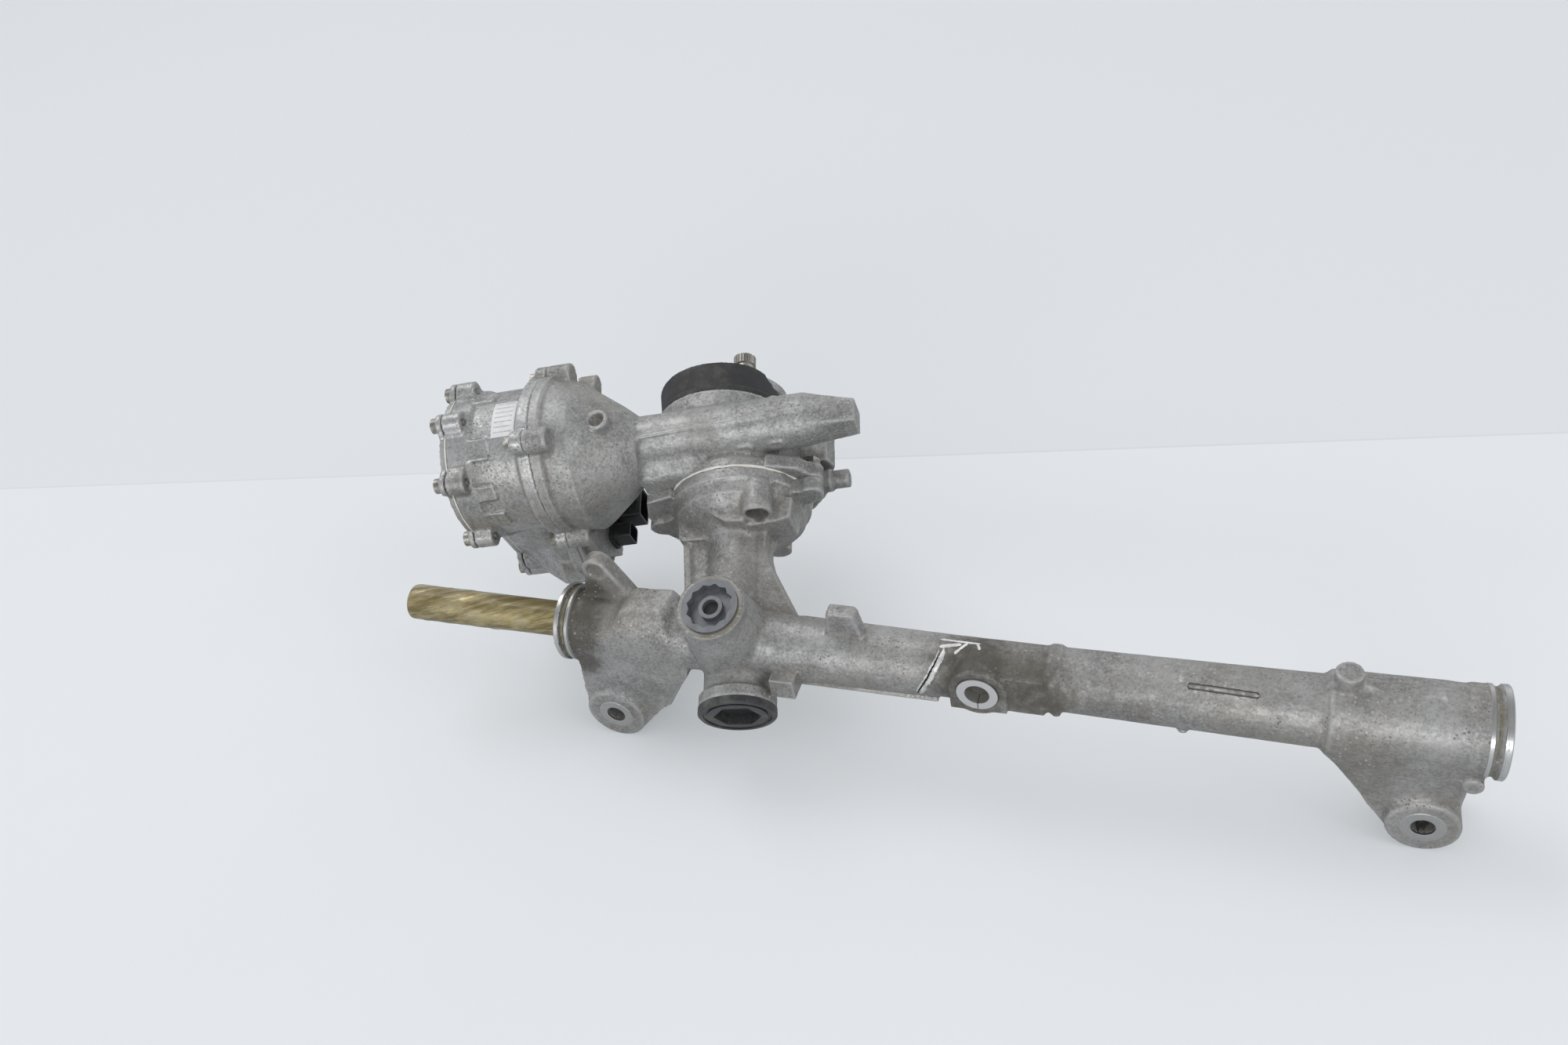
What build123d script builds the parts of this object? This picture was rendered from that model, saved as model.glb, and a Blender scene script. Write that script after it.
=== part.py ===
from build123d import *
from math import atan, atan2, cos, pi, radians, sin
import os

os.makedirs("parts", exist_ok=True)

# ---------------------------------------------------------------- driving sizes (mm, degrees)
housing_length = 608.0        # left boot seat face to right boot seat face
bar_radius = 13.0             # rack bar
bar_left = -132.0             # bar end outside the housing at full left lock
bar_length = 710.0
pinion_x = 127.0              # where the pinion crosses the rack
pinion_lean = 13.4            # pinion lean toward the left seat
yoke_roll = 20.9              # yoke bore tilt toward the viewer's side
tooth_module = 2.0            # rack and pinion
pinion_teeth = 8
pressure_angle = 25.0
tooth_addendum = 1.4          # rack side
pinion_addendum = 1.8
tooth_root_gap = 0.3
tooth_play = 0.12             # backlash along the pitch line
pinion_offset = 13.5          # pinion axis to rack axis
wheel_offset = 50.0           # worm axis to pinion axis
worm_height = 150.0           # worm axis along the pinion
wheel_teeth = 40
worm_starts = 2
wheel_module = 2.0
running_gap = 0.05
seat_gap = 0.3
clear_gap = 1.0
shell_wall = 6.0
bolt_m8 = 4.0                 # shank radii
bolt_m6 = 3.0
bolt_m5 = 2.5
bolt_washer = 1.5

# ---------------------------------------------------------------- directions and frames
lean = radians(pinion_lean)
roll = radians(yoke_roll)
pinion_dir = Vector(-sin(lean), cos(lean) * cos(roll), cos(lean) * sin(roll))
yoke_dir = Vector(0, -sin(roll), cos(roll))
worm_dir = pinion_dir.cross(yoke_dir)
rack_point = Vector(pinion_x, 0, 0)
pinion_point = rack_point - yoke_dir * pinion_offset
worm_point = pinion_point + pinion_dir * worm_height + yoke_dir * wheel_offset
rack_axis = Axis((0, 0, 0), (1, 0, 0))
pinion_axis = Axis(pinion_point, pinion_dir)
worm_axis = Axis(worm_point, worm_dir)
middle_up = (Align.CENTER, Align.CENTER, Align.MIN)
middle_down = (Align.CENTER, Align.CENTER, Align.MAX)


def rack_at(x):
    """Plane across the rack: local x toward the back, local y up, normal along the bar."""
    return Plane(origin=(x, 0, 0), x_dir=(0, 1, 0), z_dir=(1, 0, 0))


def gear_at(height):
    """Plane across the pinion: local x toward the worm's right end, local y away from the yoke."""
    return Plane(origin=pinion_point + pinion_dir * height, x_dir=worm_dir, z_dir=pinion_dir)


def worm_at(along):
    """Plane across the worm: local x along the pinion, local y toward the yoke side."""
    return Plane(origin=worm_point + worm_dir * along, x_dir=pinion_dir, z_dir=worm_dir)


def yoke_at(height):
    """Plane across the yoke bore, measured from the rack axis."""
    return Plane(origin=rack_point + yoke_dir * height, x_dir=(1, 0, 0), z_dir=yoke_dir)


gear_side = Plane(origin=pinion_point, x_dir=worm_dir, z_dir=yoke_dir)
worm_side = Plane(origin=worm_point, x_dir=worm_dir, z_dir=yoke_dir)

# ---------------------------------------------------------------- derived sizes
pinion_pitch = tooth_module * pinion_teeth / 2
pinion_tip = pinion_pitch + pinion_addendum
pinion_root = pinion_pitch - tooth_addendum - tooth_root_gap
rack_tip_depth = pinion_pitch - tooth_addendum
rack_root_depth = pinion_pitch + pinion_addendum + tooth_root_gap
worm_lead = pi * wheel_module * worm_starts
wheel_pitch = wheel_module * wheel_teeth / 2
worm_pitch = wheel_offset - wheel_pitch
lead_angle = atan(worm_lead / (2 * pi * worm_pitch))

# heights along the pinion
cap_face = -52.0
cap_seat = -47.0
pinion_low = -40.0
low_race = -39.5
race_width = 12.0
tooth_half = 22.0
high_race = 27.0
joint_height = worm_height - 32
wheel_half = 9.0
bowl_foot = joint_height - 46
top_race = worm_height + 21
nose_height = top_race + race_width
plate_top = worm_height + 32
neck_top = worm_height + 54
cover_top = neck_top + 10
input_base = nose_height + 3
input_top = worm_height + 100

# radii about the pinion
tower_radius = 24.0
cap_radius = 27.5
cap_thread = 20.0
race_outer = 16.0
pinion_shaft_radius = 9.0
ring_radius = 52.4
wheel_cavity = 45.0
neck_radius = 34.0

# about the rack
bore_radius = 16.0
seat_radius = 28.0
seat_groove = 25.6
end_bore = 22.0
end_bore_depth = 16.0
left_body_radius = 24.3
tube_radius_left = 22.5
tube_radius_middle = 20.6
tube_radius_right = 22.5
stud_top = 41.5               # square boss on the tube

# yoke
yoke_radius = 18.0
yoke_boss_radius = 23.5
yoke_boss_top = 55.0
plug_radius = 19.5
yoke_top = 33.0

# about the worm
worm_bore = 15.0
worm_housing_radius = 19.5
worm_housing_right = 62.0
worm_tip = 100.0
bell_left = -128.0
bell_right = -66.0
flange_radius = 59.0
motor_radius = 53.0
motor_bore = 47.0
motor_left = -193.0
cover_left = -202.0
stator_length = 36.0
stator_left = motor_left + 12

# ears and bolts round the gear housing: (along worm, toward back) and outer radius
ear_points = [(-63.0, 4.0), (14.0, 58.0), (57.0, -16.0)]
ear_depths = [12.0, 14.0, 12.0]      # bosses under the joint
ear_radius = 9.5
ear_top = 12.0                       # flange over the joint
pocket_radius = 8.3                  # cored pocket in the head block
pocket_a = 22.5
pocket_q = 36.5

# lugs: x, y front face, z and radii
lug_left = (28.5, -69.5)
lug_right = (572.5, -66.0)
lug_front = -25.0
lug_back = 20.0
lug_boss_radius = 21.5
lug_web_front = 22.0          # web faces, just behind the bosses
lug_web_depth = 36.0
lug_hole_radius = 7.0
pad_center = (304.1, 4.0)
pad_face = -25.0              # level with the two lugs
pad_radius = 19.0
pad_foot = -12.3
sleeve_radius = 13.4
sleeve_hole = 8.1
sleeve_length = 7.6
sleeve_stand = 0.6

# ---------------------------------------------------------------- rack housing casting
with BuildPart() as rack_housing:
    # barrel round the rack, turned profile
    with BuildSketch(Plane.XZ):
        with BuildLine():
            Polyline(
                (0, 0), (0, seat_radius), (3.5, seat_radius), (3.5, seat_groove), (8, seat_groove),
                (8, seat_radius - 0.4), (10.5, seat_radius - 0.4), (12, left_body_radius),
                (92, left_body_radius), (150, tube_radius_left), (300, tube_radius_middle),
                (340, tube_radius_middle), (housing_length - 99, tube_radius_right),
                (housing_length - 95, 26), (housing_length - 33, 26.6), (housing_length - 21.5, 26.2),
                (housing_length - 20.5, 27.2), (housing_length - 12, 27.2), (housing_length - 12, 27.6),
                (housing_length - 9, 27.6), (housing_length - 9, seat_groove),
                (housing_length - 4.5, seat_groove), (housing_length - 4.5, seat_radius),
                (housing_length, seat_radius),
                (housing_length, 0), (0, 0))
        make_face()
    revolve(axis=rack_axis)
    # ring rib past the middle lug
    with Locations(rack_at(346)):
        Cylinder(tube_radius_middle + 1.6, 7, align=middle_up)
    # pinion tower with its foot flange
    with Locations(gear_at(cap_seat)):
        Cylinder(cap_radius - 0.3, 9, align=middle_up)
        Cylinder(tower_radius, joint_height - cap_seat - 20, align=middle_up)
    # gear bowl flaring up to the joint ring
    with BuildSketch(gear_side):
        with BuildLine():
            Polyline(
                (0, bowl_foot), (tower_radius - 2, bowl_foot), (tower_radius + 3, bowl_foot + 12),
                (40, bowl_foot + 20), (48, bowl_foot + 28), (50, joint_height - 10),
                (ring_radius, joint_height - 9), (ring_radius, joint_height), (0, joint_height), (0, bowl_foot))
        make_face()
    revolve(axis=pinion_axis)
    # threaded bolt bosses under the joint ring
    for (ear_x, ear_y), ear_depth in zip(ear_points, ear_depths):
        with BuildSketch(gear_at(joint_height - ear_depth)):
            with Locations((ear_x, ear_y)):
                Circle(ear_radius)
        extrude(amount=ear_depth)
        with BuildSketch(gear_at(joint_height - 12)):
            with Locations((ear_x * 0.8, ear_y * 0.8)):
                Circle(ear_radius + 2)
            with Locations((ear_x * 0.6, ear_y * 0.6)):
                Circle(ear_radius + 4)
        extrude(amount=12)
    # left ear web, five sided
    with BuildSketch(gear_at(joint_height - 8)):
        with BuildLine():
            Polyline((-40, 36), (-57.5, 34), (-68.5, 16), (-71, -7), (-64.7, -29), (-44, -34), (-40, 36))
        make_face()
    extrude(amount=8)
    # column down the tower's left side with a raised border, wider at its head
    with BuildSketch(gear_side.offset(-8)):
        with BuildLine():
            Polyline((-10, 8), (-37, 20), (-38, 49), (-40, joint_height - 36), (-10, joint_height - 36), (-10, 8))
        make_face()
    extrude(amount=20)
    with BuildSketch(gear_side.offset(-8)):
        with BuildLine():
            Polyline(
                (-33, 22), (-37, 20), (-38, 49), (-40, joint_height - 36), (-35, joint_height - 36),
                (-33, 49), (-33, 22))
        make_face()
    extrude(amount=22.5)
    with BuildSketch(gear_side.offset(-8)):
        with BuildLine():
            Polyline(
                (-10, joint_height - 38), (-40, joint_height - 36), (-43, joint_height - 34),
                (-44, joint_height - 10), (-10, joint_height - 10), (-10, joint_height - 38))
        make_face()
    extrude(amount=25)
    # gusset between tower and tube
    with BuildSketch(gear_side.offset(-5)):
        with BuildLine():
            Polyline(
                (10, 0), (49, 5), (48, 9), (26, 57), (23, 70), (24, joint_height - 34),
                (10, joint_height - 34), (10, 0))
        make_face()
    extrude(amount=22)
    # head blocks under the bowl's front, with the cored pocket's column between them
    with BuildSketch(gear_side):
        with BuildLine():
            Polyline(
                (-15, joint_height - 13), (11, joint_height - 14), (12, joint_height - 37),
                (-2, joint_height - 35), (-15, joint_height - 26), (-15, joint_height - 13))
        make_face()
    extrude(amount=36)
    with BuildSketch(gear_side):
        with BuildLine():
            Polyline(
                (11, joint_height - 14), (32, joint_height - 14), (46, joint_height - 18),
                (44, joint_height - 34), (32, joint_height - 36), (12, joint_height - 37),
                (11, joint_height - 14))
        make_face()
    extrude(amount=28)
    with Locations(gear_at(joint_height - 34)):
        with Locations((pocket_a, -pocket_q, 0)):
            Cylinder(pocket_radius + 2.7, 25, align=middle_up)
    # yoke bore boss with a drafted skirt
    with Locations(yoke_at(0)):
        Cone(30, yoke_boss_radius, yoke_boss_top - 9, align=middle_up)
        Cylinder(yoke_boss_radius, yoke_boss_top, align=middle_up)
    # small pad beside the tower foot
    with Locations((172, -22, -8)):
        Box(18, 22, 16)
    # left lug: a thick web that runs flush from the barrel to the boss
    with BuildSketch(Plane.XZ.offset(lug_web_front)):
        with BuildLine():
            Polyline(
                (12, 0), (12, -30), (9, -34), (7, -50), (6, -72), (14, -86), (28, -91), (44, -86),
                (54, -75), (67, -60), (76, -53), (88, -32), (96, -20), (100, 0), (12, 0))
        make_face()
    extrude(amount=-lug_web_depth)
    with Locations(Plane(origin=(lug_left[0], lug_back, lug_left[1]), z_dir=(0, -1, 0))):
        Cylinder(lug_boss_radius + 1, lug_back - lug_front, align=middle_up)
    # shoulder between the barrel and the yoke boss
    with BuildSketch(Plane.XZ.offset(8)):
        with BuildLine():
            Polyline((46, 0), (50, 28), (56, 31), (84, 31), (88, 26), (92, 0), (46, 0))
        make_face()
    extrude(amount=-20)
    # right lug: web and boss
    with BuildSketch(Plane.XZ.offset(lug_web_front - 2)):
        with BuildLine():
            Polyline(
                (housing_length - 99, 0), (housing_length - 99, -13), (housing_length - 90, -25),
                (housing_length - 55, -76), (housing_length - 42, -86), (housing_length - 24, -84),
                (housing_length - 18, -66), (housing_length - 16, -36), (housing_length - 14, -18),
                (housing_length - 14, 0), (housing_length - 99, 0))
        make_face()
    extrude(amount=2 - lug_web_depth)
    with Locations(Plane(origin=(lug_right[0], lug_back, lug_right[1]), z_dir=(0, -1, 0))):
        Cylinder(lug_boss_radius, lug_back - lug_front, align=middle_up)
    # middle pad: arched boss, square foot and flat facet
    with Locations(Plane(origin=(pad_center[0], 0, pad_center[1]), z_dir=(0, -1, 0))):
        Cylinder(pad_radius, -pad_face, align=middle_up)
    with Locations((pad_center[0], pad_face / 2, (pad_foot + pad_center[1]) / 2)):
        Box(2 * pad_radius - 1, -pad_face, pad_center[1] - pad_foot)
    with Locations((pad_center[0] + 24, -10.5, 1.5)):
        Box(36, 21, 30)
    # ear beside the left boot seat
    with BuildSketch(Plane.XZ.offset(-16)):
        with BuildLine():
            Polyline((12, 10), (21, 44), (30, 58), (38, 54), (56, 20), (56, 10), (12, 10))
        make_face()
        with Locations((30, 48)):
            Circle(10)
    extrude(amount=12)
    # square boss on the tube, stud boss and its webs near the right seat
    with BuildSketch(Plane.XZ.offset(5)):
        with BuildLine():
            Polyline((199, 14), (201.5, stud_top), (219, stud_top), (221, stud_top - 2.5), (226, 14), (199, 14))
        make_face()
    extrude(amount=-10)
    with Locations((521, 0, 0)):
        Cylinder(8.2, 36.5, align=middle_up)
    with BuildSketch(Plane.XZ):
        with BuildLine():
            Polyline((500, 10), (512, 30), (530, 30), (548, 24), (572, 28.5), (582, 10), (500, 10))
        make_face()
    extrude(amount=4, both=True)
    # long raised slot on the tube
    with BuildSketch(Plane(origin=(450, 0, 0), x_dir=(1, 0, 0), z_dir=yoke_dir)):
        SlotOverall(46, 8)
    extrude(amount=24.5)
    # parting line fin and nubs along the lower front
    with Locations(Plane(origin=(0, 0, 0), x_dir=(1, 0, 0), z_dir=(0, -0.65, -0.76))):
        with Locations((222, 0, 18)):
            Box(106, 3, 6.6, align=middle_up)
        with Locations((290, 0, 18), (352, 0, 18), (430, 0, 18)):
            Cylinder(3, 6, align=middle_up)
    # small round boss by the right lug
    with Locations(Plane(origin=(593, 0, -22), z_dir=(0, -1, 0))):
        Cylinder(6, 26, align=middle_up)

    # ---- bores
    with Locations(rack_at(0)):
        Cylinder(bore_radius, housing_length, align=middle_up, mode=Mode.SUBTRACT)
        Cylinder(end_bore, end_bore_depth, align=middle_up, mode=Mode.SUBTRACT)
    with Locations(rack_at(housing_length)):
        Cylinder(end_bore, end_bore_depth, align=middle_down, mode=Mode.SUBTRACT)
    with Locations(rack_at(550)):
        Cylinder(18, 58, align=middle_up, mode=Mode.SUBTRACT)
    with Locations(gear_at(cap_seat)):
        Cylinder(cap_thread, pinion_low - cap_seat, align=middle_up, mode=Mode.SUBTRACT)
    with Locations(gear_at(pinion_low)):
        Cylinder(race_outer, low_race + race_width - pinion_low, align=middle_up, mode=Mode.SUBTRACT)
    with Locations(gear_at(low_race)):
        Cylinder(13, high_race - low_race, align=middle_up, mode=Mode.SUBTRACT)
    with Locations(gear_at(high_race)):
        Cylinder(race_outer, race_width, align=middle_up, mode=Mode.SUBTRACT)
    with Locations(gear_at(high_race + race_width)):
        Cylinder(17, joint_height, align=middle_up, mode=Mode.SUBTRACT)
    with BuildSketch(gear_side):
        with BuildLine():
            Polyline(
                (0, joint_height - 20), (30, joint_height - 20), (41, joint_height - 12),
                (wheel_cavity, joint_height - 6), (wheel_cavity, joint_height + 1),
                (0, joint_height + 1), (0, joint_height - 20))
        make_face()
    revolve(axis=pinion_axis, mode=Mode.SUBTRACT)
    with Locations(yoke_at(0)):
        Cylinder(yoke_radius + running_gap, yoke_boss_top + 1, align=middle_up, mode=Mode.SUBTRACT)
    with Locations(yoke_at(yoke_boss_top - 14)):
        Cylinder(plug_radius, 15, align=middle_up, mode=Mode.SUBTRACT)
    # lug bores
    for lug_x, lug_z in (lug_left, lug_right):
        with Locations(Plane(origin=(lug_x, lug_back + 1, lug_z), z_dir=(0, -1, 0))):
            Cylinder(lug_hole_radius, lug_back - lug_front + 2, align=middle_up, mode=Mode.SUBTRACT)
    # blind seat of the middle sleeve
    with Locations(Plane(origin=(pad_center[0], pad_face, pad_center[1]), z_dir=(0, 1, 0))):
        Cylinder(sleeve_radius, sleeve_length, align=middle_up, mode=Mode.SUBTRACT)
    # recess in the ear, pocket in the tower boss, bolt holes in the ears
    with Locations(Plane(origin=(30, 4, 48), z_dir=(0, 1, 0))):
        Cylinder(6.5, 2.5, align=middle_up, mode=Mode.SUBTRACT)
    with Locations(gear_at(joint_height - 34)):
        with Locations((pocket_a, -pocket_q, 0)):
            Cylinder(pocket_radius, 14, align=middle_up, mode=Mode.SUBTRACT)
    with BuildSketch(gear_side.offset(pocket_q)):
        with Locations((pocket_a, joint_height - 34)):
            Rectangle(4, 14)
    extrude(amount=14, mode=Mode.SUBTRACT)
    for (ear_x, ear_y), ear_depth in zip(ear_points, ear_depths):
        with Locations(gear_at(joint_height)):
            with Locations((ear_x, ear_y, 0)):
                Cylinder(bolt_m8, ear_depth - 2, align=middle_down, mode=Mode.SUBTRACT)

rack_housing.part.label = "rack_housing"
export_step(rack_housing.part, "parts/rack_housing.step")
print("rack_housing", rack_housing.part.volume, len(rack_housing.part.solids()), rack_housing.part.bounding_box())

# ---------------------------------------------------------------- split sleeve in the middle pad
with BuildPart() as pad_sleeve:
    with Locations(Plane(origin=(pad_center[0], pad_face - sleeve_stand, pad_center[1]), z_dir=(0, 1, 0))):
        Cylinder(sleeve_radius, sleeve_length + sleeve_stand, align=middle_up)
        Cylinder(sleeve_hole, sleeve_length + sleeve_stand, align=middle_up, mode=Mode.SUBTRACT)
    with Locations((pad_center[0], pad_face + sleeve_length / 2, pad_center[1] - sleeve_radius)):
        Box(0.6, sleeve_length + 2, 2 * sleeve_radius - sleeve_hole, mode=Mode.SUBTRACT)
pad_sleeve.part.label = "pad_sleeve"
export_step(pad_sleeve.part, "parts/pad_sleeve.step")

# ---------------------------------------------------------------- rack bar
tooth_pitch = pi * tooth_module
gap_half = tooth_pitch / 4 + tooth_play / 2
slope = sin(radians(pressure_angle)) / cos(radians(pressure_angle))
first_gap = -26
last_gap = 3
teeth_outline = [(first_gap * tooth_pitch - 4, 4), (first_gap * tooth_pitch - 4, -rack_tip_depth)]
for gap in range(first_gap, last_gap + 1):
    middle = gap * tooth_pitch
    mouth = gap_half + tooth_addendum * slope
    floor = gap_half - (rack_root_depth - pinion_pitch) * slope
    teeth_outline.append((middle - mouth, -rack_tip_depth))
    teeth_outline.append((middle - floor, -rack_root_depth))
    teeth_outline.append((middle + floor, -rack_root_depth))
    teeth_outline.append((middle + mouth, -rack_tip_depth))
teeth_outline.append((last_gap * tooth_pitch + 4, -rack_tip_depth))
teeth_outline.append((last_gap * tooth_pitch + 4, 4))
teeth_outline.append(teeth_outline[0])
bar_thread = 6.25
bar_thread_depth = 22.0
teeth_reach = 75.0            # the leaning cut crosses the bar along the whole toothed length
with BuildPart() as rack_bar:
    with Locations(rack_at(bar_left)):
        Cylinder(bar_radius, bar_length, align=middle_up)
    chamfer(rack_bar.edges().filter_by(GeomType.CIRCLE), length=1.2)
    with BuildSketch(gear_at(0)):
        with BuildLine():
            Polyline(*teeth_outline)
        make_face()
    extrude(amount=teeth_reach, both=True, mode=Mode.SUBTRACT)
    with Locations(rack_at(bar_left)):
        Cylinder(bar_thread, bar_thread_depth, align=middle_up, mode=Mode.SUBTRACT)
    with Locations(rack_at(bar_left + bar_length)):
        Cylinder(bar_thread, bar_thread_depth, align=middle_down, mode=Mode.SUBTRACT)
rack_bar.part.label = "rack_bar"
export_step(rack_bar.part, "parts/rack_bar.step")

# ---------------------------------------------------------------- rack bushing and end dampers
bushing_start = 552.0
bushing_end = 578.0
with BuildPart() as rack_bushing:
    with Locations(rack_at(bushing_start)):
        Cylinder(18, bushing_end - bushing_start, align=middle_up)
        Cylinder(bar_radius + running_gap, bushing_end - bushing_start, align=middle_up, mode=Mode.SUBTRACT)
    with Locations((bushing_start + 13, 0, 18)):
        Box(30, 2, 12, mode=Mode.SUBTRACT)
rack_bushing.part.label = "rack_bushing"
export_step(rack_bushing.part, "parts/rack_bushing.step")

with BuildPart() as bushing_ring:
    with Locations(rack_at(bushing_end)):
        Cylinder(18, 3, align=middle_up)
        Cylinder(15, 3, align=middle_up, mode=Mode.SUBTRACT)
bushing_ring.part.label = "bushing_ring"
export_step(bushing_ring.part, "parts/bushing_ring.step")

with BuildPart() as stop_rings:
    with Locations(rack_at(9.0), rack_at(housing_length - end_bore_depth)):
        Cylinder(end_bore, 7, align=middle_up)
    with Locations(rack_at(8.0), rack_at(housing_length - end_bore_depth - 1)):
        Cylinder(bar_radius + clear_gap, 9, align=middle_up, mode=Mode.SUBTRACT)
stop_rings.part.label = "stop_rings"
export_step(stop_rings.part, "parts/stop_rings.step")

# ---------------------------------------------------------------- yoke, liner, spring, plug
with BuildPart() as yoke:
    with Locations(yoke_at(0)):
        Cylinder(yoke_radius, yoke_top, align=middle_up)
    with Locations(yoke_at(yoke_top - 14)):
        Cylinder(11.5, 15, align=middle_up, mode=Mode.SUBTRACT)
    with Locations(rack_at(pinion_x - 30)):
        Cylinder(bar_radius + 0.9, 60, align=middle_up, mode=Mode.SUBTRACT)
    with Locations(yoke_at(-1)):
        Box(60, 60, 7, align=middle_up, mode=Mode.SUBTRACT)
    with Locations(yoke_at(24)):
        Cylinder(yoke_radius + 1, 3, align=middle_up, mode=Mode.SUBTRACT)
        Cylinder(yoke_radius - 2, 3, align=middle_up)
        Cylinder(11.5, 3, align=middle_up, mode=Mode.SUBTRACT)
yoke.part.label = "yoke"
export_step(yoke.part, "parts/yoke.step")

with BuildPart() as yoke_liner:
    with Locations(rack_at(pinion_x - 11)):
        Cylinder(bar_radius + 0.9, 22, align=middle_up)
        Cylinder(bar_radius + running_gap, 22, align=middle_up, mode=Mode.SUBTRACT)
    with Locations(yoke_at(6.2)):
        Box(60, 60, 40, align=middle_down, mode=Mode.SUBTRACT)
yoke_liner.part.label = "yoke_liner"
export_step(yoke_liner.part, "parts/yoke_liner.step")

with BuildPart() as yoke_seal:
    with Locations(yoke_at(24)):
        Cylinder(yoke_radius, 2.8, align=middle_up)
        Cylinder(yoke_radius - 2, 2.8, align=middle_up, mode=Mode.SUBTRACT)
yoke_seal.part.label = "yoke_seal"
export_step(yoke_seal.part, "parts/yoke_seal.step")

spring_base = yoke_top - 14
spring_top = 44.0
spring_wire = 1.6
with BuildPart() as yoke_spring:
    with BuildLine() as spring_path:
        Helix(pitch=5.4, height=spring_top - spring_base - 2 * spring_wire - 0.2, radius=8.6,
              center=yoke_at(spring_base + spring_wire + 0.1).origin, direction=yoke_dir)
    with BuildSketch(Plane(origin=spring_path.line @ 0, z_dir=spring_path.line % 0)):
        RegularPolygon(radius=spring_wire, side_count=8)
    sweep(path=spring_path.line, is_frenet=True)
yoke_spring.part.label = "yoke_spring"
export_step(yoke_spring.part, "parts/yoke_spring.step")

plug_face = yoke_boss_top + 1.5
with BuildPart() as yoke_plug:
    with Locations(yoke_at(41.5)):
        Cylinder(plug_radius, plug_face - 41.5, align=middle_up)
    with Locations(yoke_at(41)):
        Cylinder(12, spring_top - 41, align=middle_up, mode=Mode.SUBTRACT)
    # twelve-point socket
    with BuildSketch(yoke_at(plug_face)):
        RegularPolygon(radius=16.2, side_count=6)
        RegularPolygon(radius=16.2, side_count=6, rotation=30)
    extrude(amount=-7, mode=Mode.SUBTRACT)
    with Locations(yoke_at(plug_face - 7)):
        Cylinder(8.2, 4.6, align=middle_up)
        Cylinder(5.6, 20, mode=Mode.SUBTRACT)
yoke_plug.part.label = "yoke_plug"
export_step(yoke_plug.part, "parts/yoke_plug.step")

with BuildPart() as plug_pin:
    with Locations(yoke_at(spring_top - 1)):
        Cylinder(5.6, 7, align=middle_up)
plug_pin.part.label = "plug_core"
export_step(plug_pin.part, "parts/plug_core.step")

# ---------------------------------------------------------------- pinion cap with its hex socket
with BuildPart() as pinion_cap:
    with Locations(gear_at(cap_face)):
        Cylinder(cap_radius, cap_seat - cap_face, align=middle_up)
        Cylinder(cap_thread, pinion_low - cap_face, align=middle_up)
    chamfer(pinion_cap.edges().filter_by(GeomType.CIRCLE).group_by(Axis(pinion_point, pinion_dir))[0], length=1)
    with BuildSketch(gear_at(cap_face)):
        RegularPolygon(radius=17, side_count=6, rotation=10)
    extrude(amount=8, mode=Mode.SUBTRACT)
    with Locations(gear_at(cap_face - 1)):
        Cylinder(24, 2.2, align=middle_up, mode=Mode.SUBTRACT)
        Cylinder(21, 2.2, align=middle_up)
    with BuildSketch(gear_at(cap_face - 1)):
        RegularPolygon(radius=17, side_count=6, rotation=10)
    extrude(amount=5, mode=Mode.SUBTRACT)
    with Locations(gear_at(cap_face)):
        Cylinder(30, 2, align=middle_down, mode=Mode.SUBTRACT)
pinion_cap.part.label = "pinion_cap"
export_step(pinion_cap.part, "parts/pinion_cap.step")

# ---------------------------------------------------------------- pinion shaft
base_circle = pinion_pitch * cos(radians(pressure_angle))
pinion_outline = []
for tooth in range(pinion_teeth):
    center = -pi / 2 + 2 * pi * tooth / pinion_teeth
    flank = []
    for radius in (pinion_root, base_circle, base_circle + 0.5, base_circle + 1.2, base_circle + 1.9, pinion_tip):
        if radius <= base_circle:
            spread = pi / (2 * pinion_teeth) + slope - radians(pressure_angle)
        else:
            roll_on = (radius * radius / (base_circle * base_circle) - 1) ** 0.5
            spread = pi / (2 * pinion_teeth) + slope - radians(pressure_angle) - roll_on + atan(roll_on)
        flank.append((radius, spread))
    for radius, spread in flank:
        pinion_outline.append((radius * cos(center - spread), radius * sin(center - spread)))
    for radius, spread in reversed(flank):
        pinion_outline.append((radius * cos(center + spread), radius * sin(center + spread)))
pinion_outline.append(pinion_outline[0])
nose_top = nose_height + 15
nose_radius = 6.0
wheel_seat_radius = 8.5
torsion_bore = 4.3
with BuildPart() as pinion_shaft:
    with BuildSketch(gear_at(-tooth_half)):
        with BuildLine():
            Polyline(*pinion_outline)
        make_face()
    extrude(amount=2 * tooth_half)
    with Locations(gear_at(low_race)):
        Cylinder(6, -tooth_half - low_race, align=middle_up)
    with Locations(gear_at(tooth_half)):
        Cylinder(pinion_tip + 0.4, high_race - tooth_half, align=middle_up)
    with Locations(gear_at(high_race)):
        Cylinder(pinion_shaft_radius, worm_height - wheel_half - high_race, align=middle_up)
    with Locations(gear_at(worm_height - wheel_half)):
        Cylinder(wheel_seat_radius, nose_height - worm_height + wheel_half, align=middle_up)
    with Locations(gear_at(nose_height)):
        Cylinder(nose_radius, nose_top - nose_height, align=middle_up)
    with Locations(gear_at(60)):
        Cylinder(torsion_bore, nose_top - 60, align=middle_up, mode=Mode.SUBTRACT)
pinion_shaft.part.label = "pinion_shaft"
export_step(pinion_shaft.part, "parts/pinion_shaft.step")

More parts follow.
